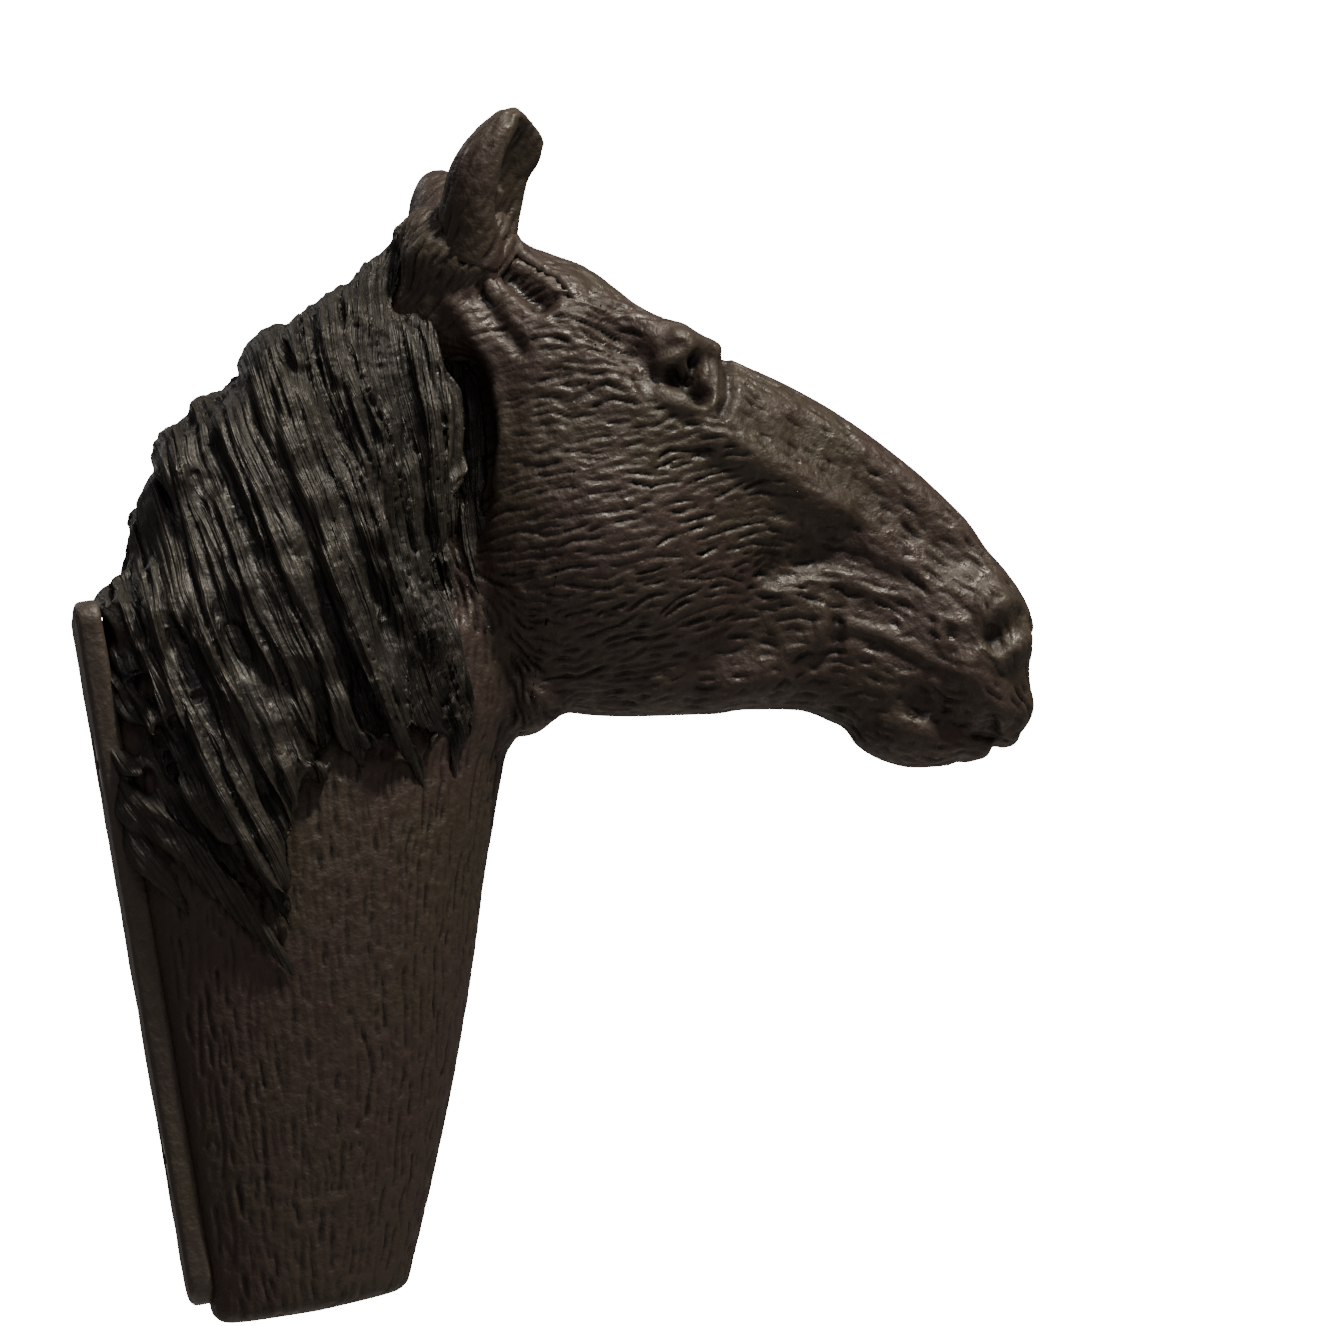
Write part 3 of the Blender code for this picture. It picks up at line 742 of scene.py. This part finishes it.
def makeSkin(pieces, voxel, rounds, shape=None):
    # a smooth surface over the pieces, for hair to lie on
    under = joined([twinOf(piece, "skinForHair") for piece in pieces], "skinForHair")
    remesh(under, voxel)
    soften(under, rounds)
    if shape:
        shape(under)
    spots, normals = spotsOf(under)
    near = KDTree(len(spots))
    for i, spot in enumerate(spots):
        near.insert(spot, i)
    near.balance()
    skin = {"tree": treeOf(under), "spots": spots, "normals": normals, "near": near}
    bpy.data.objects.remove(under)
    return skin


def onSkin(skin, spot):
    found = skin["tree"].find_nearest(Vector(spot))[0]
    return found, Vector(skin["normals"][skin["near"].find(found)[1]])


def follow(skin, start, flow, length, step=0.5):
    # a path up the lie of the hair, from its tip
    spot, path = Vector(start), []
    for _ in range(int(length / step)):
        found, normal = onSkin(skin, spot)
        way = -flow(found, normal)
        way = (way - normal * way.dot(normal)).normalized()
        path.append(tuple(found))
        spot = found + way * step
    return path[::-1]


def evenPath(path, count):
    path = np.array(path)
    run = np.concatenate([[0], np.cumsum(np.linalg.norm(np.diff(path, axis=0), axis=1))])
    wanted = np.linspace(0, run[-1], count)
    return np.column_stack([np.interp(wanted, run, path[:, k]) for k in range(3)])


def blur(rows, rounds):
    for _ in range(rounds):
        middle = 0.25 * rows[:-2] + 0.5 * rows[1:-1] + 0.25 * rows[2:]
        rows = np.concatenate([rows[:1], middle, rows[-1:]])
    return rows


def unit(rows):
    return rows / np.maximum(np.linalg.norm(rows, axis=-1), 1e-9)[..., None]


def clumpRise(spot):
    # hair gathers into broad clumps that lie higher or lower, long down the mane and narrow across it
    x, y, z = spot
    return 1.6 * noise.noise(Vector((x * 0.38 + z * 0.08, y * 0.2, z * 0.07 - x * 0.02)))


def layHair(blank, skin, path, hair):
    # path runs from root to tip; hair holds its width, thickness, lift and the cuts between its hairs
    rings, around, under, columns = (lockForm[key] for key in ("rings", "around", "under", "columns"))
    middle = blur(evenPath(path, rings), 3)
    normal = unit(blur(np.array([tuple(onSkin(skin, spot)[1]) for spot in middle]), 4))
    along = unit(np.gradient(middle, axis=0))
    across = unit(np.cross(along, normal))
    t = np.linspace(0, 1, rings)
    girth = np.interp(t, lockForm["girthAt"], (hair["root"], *lockForm["girth"]))
    lift = np.interp(t, [0, 0.15, 0.55, 1.0], hair["lift"])
    weave = [noise.noise(Vector(spot) * 0.45 + Vector((hair["phase"] * 9, 0, 0))) for spot in middle]
    lift = lift + hair["weave"] * np.array(weave) * np.sin(t * math.pi)
    lift = lift + hair["clump"] * np.array([clumpRise(spot) for spot in middle])
    crest = np.interp(t, lockForm["crestAt"], lockForm["crest"]) * hair["thick"]
    base = np.zeros((rings, columns, 3))
    up = np.zeros((rings, columns, 3))
    for j, q in enumerate(np.linspace(-1, 1, columns)):
        for i in range(rings):
            base[i, j], up[i, j] = onSkin(skin, middle[i] + across[i] * q * girth[i] * hair["width"] / 2)
    base, up = blur(base, 2), unit(blur(up, 3))
    top = around - under
    turns = np.concatenate([np.linspace(-1, 1, top), np.linspace(1, -1, under + 2)[1:-1]])
    rows = np.zeros((rings, around, 3))
    # made-up relief for the finish: the crown of each hair stands high, lightened by wear and a painted
    # highlight, and its cuts and underside sit low, darkened as painted shade
    relief = np.zeros((rings, around))
    for k, q in enumerate(turns):
        slot = (q + 1) * (columns - 1) / 2
        j = min(columns - 2, int(slot))
        spot = base[:, j] * (1 - slot + j) + base[:, j + 1] * (slot - j)
        n = up[:, j] * (1 - slot + j) + up[:, j + 1] * (slot - j)
        dome = math.sqrt(max(0.0, 1 - abs(q) ** 2.4))
        if k < top:
            groove = np.zeros(rings)
            for place, deep, wide, drift in hair["cuts"]:
                centre = place * (1 - 0.3 * t) + 0.12 * np.sin(t * drift * 6 + place * 9)
                groove = np.maximum(groove, deep * np.exp(-(((q - centre) / wide) ** 2)))
            height = lift + crest * dome * (1 - groove)
            relief[:, k] = 0.26 * dome * (1 - 1.3 * groove) - 0.12
        else:
            height = lift - 0.3 * dome * np.minimum(1.0, crest)
            relief[:, k] = -0.15
        rows[:, k] = spot + n * height[:, None]
    piece = twinOf(blank, "hair")
    order = np.empty(len(blank.data.vertices) * 3)
    blank.data.vertices.foreach_get("co", order)
    order = order.reshape(-1, 3)
    ring = np.rint(order[:, 2]).astype(int)
    turn = np.rint((np.arctan2(order[:, 0], order[:, 1]) / (2 * math.pi)) % 1 * around).astype(int) % around
    moveSpots(piece, rows[ring, turn])
    noteValues(piece, relief[ring, turn], "relief")
    piece.data.shade_smooth()
    return piece


def someCuts(count, deep, wide):
    # grooves at uneven places across a lock
    places = np.linspace(-0.85, 0.85, count + 2)[1:-1] + rng.uniform(-0.09, 0.09, count)
    return [(p, rng.uniform(*deep), rng.uniform(*wide), rng.uniform(0.2, 0.8)) for p in places]


maneGuides = [
    (4.1, 25.1, -88), (13.8, 30.6, -76), (8.0, 6.3, -70), (21.4, 32.9, -80), (22.4, 18.2, -82),
    (14.8, 15.9, -76), (27.1, 28.2, -96), (25.5, 42.0, -100), (11.2, 36.2, -88), (6.0, 16.0, -76),
    (28.5, 38.0, -92), (28.0, 45.5, -125),
]
maneReach = 6.0
maneFlow = flowField(maneGuides, maneReach, over=2.2)
mane = {
    "bedVoxel": 0.35, "sink": 0.5, "clump": 0.35,  # the bed under the locks
    "voxel": 0.205, "melt": 5, "backReach": 0.9, "backStart": 3.6,
    "crestMelt": 16, "crestFrom": 20.0,  # above this z the crest is drawn smooth
    "deepest": -0.65, "hemDepth": 0.25,  # the deepest gap between hairs, and the share left at the hem
    "tufts": [(26.2, 1.4, 44.4, 1.7), (27.8, 2.0, 46.2, 1.6), (29.2, 2.6, 47.9, 1.5)],  # x, y, z, radius
    # lowest z of the hair at each x, and how far above it the bed starts to thin out
    "hemX": (1.8, 3.8, 5.8, 8.6, 10.9, 12.6, 13.6, 26.0, 28.0), "hemFade": 6.0,
    "hemZ": (14.0, 11.0, 6.0, 0.6, -3.4, 0.4, 8.4, 7.8, 13.0),
    # how far the crest is raised at each x
    "crestX": (3.0, 3.9, 5.1, 6.6, 7.6, 8.6, 10.0, 12.5, 14.4, 16.3, 20.0, 24.6, 27.4, 30.0),
    "crestRise": (0.0, -0.3, 0.2, -0.3, 0.1, 0.7, 0.6, 0.0, 0.0, 1.2, 1.0, 0.8, 0.1, 0.0),
    "locks": {
        "gap": 1.9, "seedRoom": 0.95, "runRoom": 0.5, "length": (14.0, 34.0), "shortest": 6.0,
        "wander": 0.05, "ripple": 0.12, "step": 0.5, "width": (2.2, 3.6), "thick": (0.8, 1.4), "lift": -0.75,
    },
    # tips of the locks along the hem: (x, z), width, length
    "hem": [
        ((10.7, -4.3), 2.9, 28.0), ((9.5, -1.4), 2.3, 24.0), ((8.1, 0.4), 2.0, 22.0),
        ((6.3, 3.6), 2.2, 20.0), ((4.4, 0.6), 1.7, 18.0), ((4.6, 7.4), 2.1, 18.0),
        ((2.9, 11.4), 2.2, 12.0), ((10.9, 0.9), 2.4, 24.0), ((11.9, 7.2), 2.3, 20.0),
        ((14.7, 8.6), 2.8, 20.0), ((16.2, 11.6), 2.0, 15.0), ((17.8, 8.9), 3.0, 22.0),
        ((19.6, 11.4), 2.2, 16.0), ((21.7, 7.2), 3.1, 24.0), ((23.9, 6.9), 2.5, 20.0),
        ((25.6, 10.4), 1.9, 14.0),
    ],
    # locks that lie over the others, and those in the shade of the ear and the cheek
    "over": [
        ((7.2, 19.4), 2.4, 16.0), ((10.0, 15.6), 2.0, 20.0), ((13.0, 17.4), 2.6, 18.0),
        ((16.4, 14.6), 2.2, 24.0), ((19.6, 17.0), 2.4, 22.0), ((22.6, 15.4), 2.2, 20.0),
        ((25.0, 20.0), 2.2, 18.0), ((9.0, 26.6), 2.4, 12.0), ((3.6, 20.2), 2.4, 8.0),
        ((5.6, 18.4), 2.2, 10.0), ((23.4, 26.0), 2.0, 16.0), ((26.8, 15.5), 2.2, 26.0),
        ((28.2, 17.0), 2.2, 24.0), ((29.4, 22.0), 2.0, 20.0), ((30.0, 28.0), 1.8, 14.0),
    ],
}
# every hair of the mane is traced back to a line beyond the crest
comb = {
    "from": (-6.0, 28.0), "to": (32.0, 54.0),
    "low": (-3.0, -9.0), "high": (38.0, 60.0), "cell": 0.4, "step": 0.5, "steps": 150,
    # waves per mm across and along, depth and sharpness of the gaps between clumps, locks and hairs
    "gaps": [(0.30, 0.040, 0.50, 0.07), (0.95, 0.06, 0.30, 0.20), (2.2, 0.09, 0.17, 0.35)], "swell": 0.6,
}


def rootLine():
    start = np.array(comb["from"])
    along = np.array(comb["to"]) - start
    along /= np.linalg.norm(along)
    return start, along, np.array([-along[1], along[0]])


def traceHair():
    # on a grid in the side view: where each hair starts on the root line, and how far down it the spot lies
    start, along, out = rootLine()
    xs, zs = (np.arange(comb["low"][k], comb["high"][k], comb["cell"]) for k in (0, 1))
    spots = np.array([(x, z) for x in xs for z in zs])
    places, ways = readGuides(maneGuides)
    root, run = (spots - start) @ along, np.zeros(len(spots))
    before = (spots - start) @ out
    for i in range(comb["steps"]):
        way = (1 / (((spots[:, None] - places[None]) ** 2).sum(2) + maneReach) ** 2) @ ways
        onward = spots - comb["step"] * unit(way)
        after = (onward - start) @ out
        passed = np.flatnonzero((before < 0) & (after >= 0))
        part = before[passed] / (before[passed] - after[passed])
        root[passed] = (spots[passed] + (onward - spots)[passed] * part[:, None] - start) @ along
        run[passed] = (i + part) * comb["step"]
        spots, before = onward, after
    return [values.reshape(len(xs), len(zs)) for values in (root, run)]


def combOf(spots, grids):
    # each spot's place on the root line, its distance down the hair, and its side
    place = (spots[:, [0, 2]] - np.array(comb["low"])) / comb["cell"]
    cell = np.clip(place.astype(int), 0, np.array(grids[0].shape) - 2)
    i, j = cell.T
    a, b = np.clip(place - cell, 0, 1).T
    read = []
    for grid in grids:
        left = grid[i, j] * (1 - b) + grid[i, j + 1] * b
        right = grid[i + 1, j] * (1 - b) + grid[i + 1, j + 1] * b
        read.append(left * (1 - a) + right * a)
    return np.column_stack(read + [1.2 * np.clip(spots[:, 1] / 3.0, -1, 1)])


def combRelief(rows):
    lift = np.zeros(len(rows))
    for k, (root, run, side) in enumerate(rows):
        root += 0.7 * noise.noise(Vector((root * 0.2, run * 0.12, side)))
        for n, (across, down, deep, sharp) in enumerate(comb["gaps"]):
            level = noise.noise(Vector((root * across + 11.3 * n, run * down, side + 3.1 * n)))
            lift[k] += (comb["swell"] * level if n == 0 else 0.0) - deep * math.exp(-((level / sharp) ** 2))
    return lift


def shapeCrest(piece):
    start, _, out = rootLine()
    spots, normals = spotsOf(piece)
    depth = (start - spots[:, [0, 2]]) @ out
    rise = np.interp(spots[:, 0], mane["crestX"], mane["crestRise"]) * np.clip(1.6 - depth / 7.0, 0, 1)
    moveSpots(piece, spots + normals * rise[:, None])


def aboveHem(x, z):
    return z - np.interp(x, mane["hemX"], mane["hemZ"])


def maneBase(name):
    # the mane's CAD body with the tufts behind the ears
    balls = [addBall(x, side * y, z, radius) for x, y, z, radius in mane["tufts"] for side in (-1, 1)]
    return joined([copyOfNode("mane", name)] + balls, name)


def makeBed(skin):
    # a solid bed that thins out towards the hem, where only the tips of the locks are left
    bed = maneBase("maneBed")
    remesh(bed, mane["bedVoxel"])
    soften(bed, 4)
    shapeCrest(bed)
    tree, neck = treeOf(bed), treeOf(hairBase)
    spots, normals = spotsOf(bed)
    share = np.clip(aboveHem(spots[:, 0], spots[:, 2]) / mane["hemFade"], 0, 1)
    for i, spot in enumerate(spots):
        if skin["tree"].find_nearest(Vector(spot))[3] < 0.6:
            under = np.array(neck.find_nearest(Vector(spot))[0])
            sunk = spot - normals[i] * mane["sink"]
            spots[i] = under + (sunk - under) * share[i] - normals[i] * 0.35 * (1 - share[i])
    moveSpots(bed, spots)
    soften(bed, 3)
    return bed, tree


def dropCrumbs(piece, least=2500):
    # takes away the small loose bits and bubbles that a remesh leaves
    name, kept = piece.name, []
    editWhole(piece, bpy.ops.mesh.separate, type="LOOSE")
    for part in list(bpy.context.selected_objects):
        if len(part.data.vertices) < least:
            bpy.data.objects.remove(part)
        else:
            kept.append(part)
    return joined(kept, name)


def growLocks(skin, maneTree, blank, style):
    def inside(spot, past):
        return maneTree.find_nearest(spot)[3] < 0.6 + 1.4 * past and aboveHem(spot[0], spot[2]) > 3.4 - past

    order = rng.permutation(len(skin["spots"]))
    seeds = [skin["spots"][i] for i in order if maneTree.find_nearest(Vector(skin["spots"][i]))[3] < 0.5]
    lines = combLines(skin["tree"], seeds, maneFlow, style, inside)
    print("locks of hair:", len(lines))
    locks = []
    for line in lines:
        lift = style["lift"]
        hair = {
            "width": rng.uniform(*style["width"]), "thick": rng.uniform(*style["thick"]), "root": 0.5,
            "lift": (lift - 0.3, lift, lift, lift + 0.1), "phase": rng.uniform(0, 1), "weave": 0.4,
            "clump": mane["clump"], "cuts": someCuts(2, (0.2, 0.6), (0.1, 0.2)),
        }
        locks.append(layHair(blank, skin, [tuple(spot) for spot in line], hair))
    return locks


def layLocks(skin, blank, rows, lift, tip, cuts):
    locks = []
    for side in (-1, 1):
        for (x, z), width, length in rows:
            path = follow(skin, dropOnto(skin["tree"], x, z, side), maneFlow, length * rng.uniform(0.9, 1.1))
            hair = {
                "width": width * rng.uniform(0.9, 1.15), "thick": rng.uniform(0.8, 1.2), "root": 0.3,
                "lift": (lift - 0.7, lift, lift, tip), "phase": rng.uniform(0, 1), "weave": 0.5,
                "clump": mane["clump"], "cuts": someCuts(cuts, (0.3, 0.8), (0.06, 0.13)),
            }
            locks.append(layHair(blank, skin, path, hair))
    return locks


def carveHairs(mass):
    # draws the crest smooth, then combs the hairs into the whole mass
    spots, normals = spotsOf(mass)
    smooth = twinOf(mass, "smoothMane")
    soften(smooth, mane["crestMelt"])
    flat, ways = spotsOf(smooth)
    bpy.data.objects.remove(smooth)
    # where thin hair has collapsed in the smooth twin, its own normals are kept
    ways = np.where((ways * normals).sum(axis=1, keepdims=True) > 0.5, ways, normals)
    crest = np.clip(1.15 - 1.9 * np.abs(normals[:, 1]), 0, 0.9) * (spots[:, 2] > mane["crestFrom"])
    spots += (flat - spots) * crest[:, None]
    rows = combOf(spots, traceHair())
    thin = np.clip((aboveHem(spots[:, 0], spots[:, 2]) + 1.0) / 5.0, mane["hemDepth"], 1.0)
    depth = np.maximum(combRelief(rows), mane["deepest"]) * thin
    spots += ways * depth[:, None] * (1 - 0.8 * crest[:, None])
    runOnBack(spots, mane["backReach"], mane["backStart"])
    moveSpots(mass, spots)
    soften(mass, 1, 0.35)
    noteRelief(mass, 30)
    noteVectors(mass, rows, "comb")


def makeMane():
    base = maneBase("maneForSkin")
    skin = makeSkin([hairBase, base], 0.6, 20, shapeCrest)
    bpy.data.objects.remove(base)
    bed, maneTree = makeBed(skin)
    lock = makeBlank(lockForm)
    parts = [bed] + growLocks(skin, maneTree, lock, mane["locks"])
    parts += layLocks(skin, lock, mane["hem"], -0.1, 0.0, 4)
    parts += layLocks(skin, lock, mane["over"], -0.25, -0.6, 3)
    mass = joined(parts, "carvedMane")
    remesh(mass, mane["voxel"])
    mass = dropCrumbs(mass)
    soften(mass, mane["melt"])
    carveHairs(mass)
    noteNormals(mass)
    partAndDress([mass], hairFinish, "carved_hair", "mane")
    return lock


lock = makeMane()
print("mane laid")

ears = {
    "right_ear": -1, "left_ear": 1, "voxel": 0.2,
    # the rolled front edge and the broad back edge: (x, z), reach and push along x
    "edges": [((37.8, 50.9), 2.6, 1.1), ((32.6, 51.4), 3.4, -0.6), ((31.4, 48.6), 3.4, -0.5)],
    "squatFrom": 46.0, "squat": 0.91,  # the tip is brought down a little
    "strokes": {
        "gap": 0.62, "length": (1.8, 5.5), "shortest": 0.8, "wander": 0.1,
        "ripple": 0.5, "depth": (0.06, 0.22), "width": (0.26, 0.38),
    },
}
earFlow = flowField([(28.0, 46.0, 38), (31.0, 46.0, 40), (33.0, 50.0, 52), (35.0, 54.0, 56)])


def makeEar(node, side):
    ear = copyOfNode(node, node.replace("_ear", "Ear"))
    spots, _ = spotsOf(ear)
    high = spots[:, 2] > ears["squatFrom"]
    spots[high, 2] = ears["squatFrom"] + (spots[high, 2] - ears["squatFrom"]) * ears["squat"]
    moveSpots(ear, spots)
    remesh(ear, ears["voxel"])
    soften(ear, 5)
    spots, _ = spotsOf(ear)
    for place, reach, push in ears["edges"]:
        apart = np.hypot(spots[:, 0] - place[0], spots[:, 2] - place[1])
        if push > 0 or side < 0:
            spots[:, 0] += push * np.clip(1 - (apart / reach) ** 2, 0, 1) ** 2
    moveSpots(ear, spots)
    soften(ear, 4)
    lines = combLines(treeOf(ear), someSpots(spots, 20000), earFlow, ears["strokes"])
    engrave(ear, lines, ears["strokes"])
    noteRelief(ear)
    dress(ear, coatFinish, "carved_coat", node)


for node in ("right_ear", "left_ear"):
    makeEar(node, ears[node])
print("ears carved")

# the forelock: paths as (s, h, y), width and thickness
forelock = [
    ([(-1, 5, -0.5), (2.5, 6.2, -2.2), (6, 6.6, -3), (9.5, 6.6, -3.4), (12.2, 6.6, -3.6)], 4.8, 0.9),
    (
        [(-0.6, 4.8, -2.6), (1.5, 5.0, -3.8), (3.6, 4.8, -4.6), (5.8, 4.5, -5.2), (7.4, 3.7, -5.8),
         (8.8, 2.6, -6.2)], 2.9, 0.9,
    ),
    ([(-0.2, 4.2, -3.4), (0.9, 2.9, -5.0), (1.3, 1.6, -5.8), (1.5, 0.2, -6.4)], 1.6, 0.6),
    ([(1.6, 1.4, -5.8), (2.5, 0.7, -6.3), (3.4, 0.1, -6.7)], 1.5, 0.7),
    ([(0.4, 5, -1.6), (4, 6.0, -4.0), (7.6, 5.6, -4.8), (10.8, 4.9, -5.4)], 3.4, 0.6),
    ([(-1, 5, 0.8), (3, 6.4, 1.5), (7.5, 6.8, 1.8), (11, 7, 1)], 4.6, 0.9),
    ([(0, 4.8, 2.6), (4, 5.6, 4.4), (8, 5, 5.2)], 3.4, 0.8),
    ([(-0.2, 4.2, 3.4), (0.9, 2.6, 5.2), (1.4, 0.6, 6.2)], 1.7, 0.9),
    ([(-1, 5, 0.0), (4, 6.6, -0.6), (8, 7.2, -0.8), (13.0, 7.0, -0.6)], 4.2, 0.9),
]
forelockStrokes = {
    "gap": 0.6, "length": (2.0, 7.0), "shortest": 1.0, "wander": 0.06, "depth": (0.04, 0.13),
    "width": (0.22, 0.34),
}


def makeForelock(blank):
    skin = makeSkin([hairBase], 0.6, 8)
    locks = []
    for points, width, thick in forelock:
        path = []
        for s, h, y in smoothLine(points, 0.5):
            x, z = headPoint(s, h)
            path.append(tuple(onSkin(skin, (x, y, z))[0]))
        hair = {
            "width": width, "thick": thick, "root": 0.6, "lift": (-0.1, -0.25, -0.3, -0.5),
            "phase": rng.uniform(0, 1), "weave": 0.2, "clump": 0.0,
            "cuts": someCuts(3, (0.25, 0.6), (0.08, 0.16)),
        }
        locks.append(layHair(blank, skin, path, hair))
    tuft = joined(locks, "forelockHair")
    remesh(tuft, mane["voxel"])
    soften(tuft, 8)
    seeds = someSpots(spotsOf(tuft)[0], 8000)
    engrave(tuft, combLines(treeOf(tuft), seeds, coatFlow, forelockStrokes), forelockStrokes)
    noteRelief(tuft)
    dress(tuft, coatFinish, "carved_hair", "forelock")


makeForelock(lock)
bpy.data.objects.remove(lock)
bpy.data.objects.remove(hairBase)
print("forelock laid")

eyes = {
    "place": (17.1, 3.9), "out": 4.9, "radius": 1.85, "segments": 64,
    "colour": (0.004, 0.0032, 0.0026), "rough": (0.26, 0.46), "shine": 0.12,
}


def makeEyes():
    finish, nodes, links, shader = newFinish("polishedEye")
    haze = addNoise(nodes, links, ownPlace(nodes), 900.0, 3.0)
    pale = tuple(3 * v for v in eyes["colour"])
    links.new(addMix(nodes, links, haze, eyes["colour"], pale), shader.inputs["Base Color"])
    links.new(addRange(nodes, links, haze, 0.3, 0.7, *eyes["rough"]), shader.inputs["Roughness"])
    shader.inputs["Specular IOR Level"].default_value = eyes["shine"]
    x, z = headPoint(*eyes["place"])
    for node, side in (("right_eye", -1), ("left_eye", 1)):
        eye = addBall(x, side * eyes["out"], z, eyes["radius"], eyes["segments"])
        eye.name = node.replace("_eye", "Eye")
        eye.data.shade_smooth()
        dress(eye, finish, "eye", node)


makeEyes()


plateForm = {"voxel": 0.25, "sway": 0.05, "dents": 0.02, "squatFrom": 20.0, "squat": 0.93}


def wobbleAt(spot):
    spot = Vector(spot)
    return plateForm["sway"] * noise.noise(spot * 0.35) + plateForm["dents"] * noise.noise(spot)


def makePlate():
    plate = copyOfNode("back_plate", "backPlate")
    remesh(plate, plateForm["voxel"])
    soften(plate, 3)
    spots, normals = spotsOf(plate)
    spots = spots + normals * np.array([wobbleAt(spot) for spot in spots])[:, None]
    above = spots[:, 2] - plateForm["squatFrom"]
    spots[:, 2] = np.where(above > 0, plateForm["squatFrom"] + plateForm["squat"] * above, spots[:, 2])
    moveSpots(plate, spots)
    noteRelief(plate, 20)
    dress(plate, plateFinish, "plate", "back_plate")


makePlate()


def finishScrews():
    finish, nodes, links, shader = newFinish("brushedSteel")
    brushed = addNoise(nodes, links, ownPlace(nodes), 1800.0, 2.0)
    colour = addMix(nodes, links, brushed, (0.42, 0.41, 0.40), (0.60, 0.59, 0.57))
    links.new(colour, shader.inputs["Base Color"])
    links.new(addRange(nodes, links, brushed, 0.3, 0.7, 0.25, 0.42), shader.inputs["Roughness"])
    shader.inputs["Metallic"].default_value = 1.0
    for node in ("upper_fixing_screw", "lower_fixing_screw"):
        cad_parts[node].data.materials.clear()
        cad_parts[node].data.materials.append(finish)


finishScrews()
print("plate and screws finished")

cameraSet = {
    "lean": math.radians(10.3), "aimX": 40.75, "aimZ": 13.9, "across": 94.7, "away": 330.0,
    "fromBehind": math.radians(8.0), "fromBelow": math.radians(6.0),
}


def makeCamera():
    lean, swing, dip = cameraSet["lean"], cameraSet["fromBehind"], cameraSet["fromBelow"]
    right = Vector((math.cos(lean), 0, -math.sin(lean)))
    up = Vector((math.sin(lean), 0, math.cos(lean)))
    ahead = Vector((0, 1, 0))
    level = ahead * math.cos(swing) + right * math.sin(swing)
    look = level * math.cos(dip) + up * math.sin(dip)
    side = right * math.cos(swing) - ahead * math.sin(swing)
    aim = Vector((cameraSet["aimX"], 0, cameraSet["aimZ"]))
    turn = Matrix((side, side.cross(look), -look)).transposed().to_4x4()
    data = bpy.data.cameras.new("camera")
    data.sensor_width = 36.0
    data.lens = data.sensor_width * cameraSet["away"] / cameraSet["across"]
    data.clip_start = 0.01
    camera = bpy.data.objects.new("camera", data)
    bpy.context.scene.collection.objects.link(camera)
    camera.matrix_world = Matrix.Translation((aim - look * cameraSet["away"]) * mm) @ turn
    bpy.context.scene.camera = camera


studio = {
    # place, size, watts, colour
    "keyLight": ((0.205, -0.155, 0.315), 0.05, 2.75, (1.0, 0.92, 0.76)),
    "fillLight": ((0.08, -0.46, 0.49), 0.30, 1.1, (1.0, 0.88, 0.88)),
    "backLight": ((-0.20, 0.30, 0.46), 0.30, 0.5, (1.0, 0.98, 0.95)),
    "aim": (0.035, 0, 0.03), "room": 0.16, "seenRoom": 20.0, "floorDrop": 0.30,
}


def addLight(name):
    place, size, watts, colour = studio[name]
    deselectAll()
    bpy.ops.object.light_add(type="AREA", location=place)
    light = bpy.context.object
    light.name = name
    light.data.shape = "DISK"
    light.data.size = size
    light.data.energy = watts
    light.data.color = colour
    light.rotation_mode = "QUATERNION"
    light.rotation_quaternion = (Vector(studio["aim"]) - Vector(place)).to_track_quat("-Z", "Y")


def makeStudio():
    for name in ("keyLight", "fillLight", "backLight"):
        addLight(name)
    deselectAll()
    bpy.ops.mesh.primitive_plane_add(size=3.0, location=(0, 0, -studio["floorDrop"]))
    floor = bpy.context.object
    floor.name = "floor"
    paint, _, _, shader = newFinish("palePaint")
    shader.inputs["Base Color"].default_value = (0.82, 0.81, 0.79, 1)
    shader.inputs["Roughness"].default_value = 0.9
    floor.data.materials.append(paint)
    # the pale room is bright to look at, but lights the ornament softly
    world = bpy.data.worlds.new("paleRoom")
    bpy.context.scene.world = world
    world.use_nodes = True
    nodes, links = world.node_tree.nodes, world.node_tree.links
    room = nodes["Background"]
    room.inputs["Color"].default_value = (1.0, 0.94, 0.93, 1)
    path = nodes.new("ShaderNodeLightPath")
    seenByCamera = path.outputs["Is Camera Ray"]
    level = addRange(nodes, links, seenByCamera, 0.0, 1.0, studio["room"], studio["seenRoom"])
    links.new(level, room.inputs["Strength"])


makeCamera()
makeStudio()
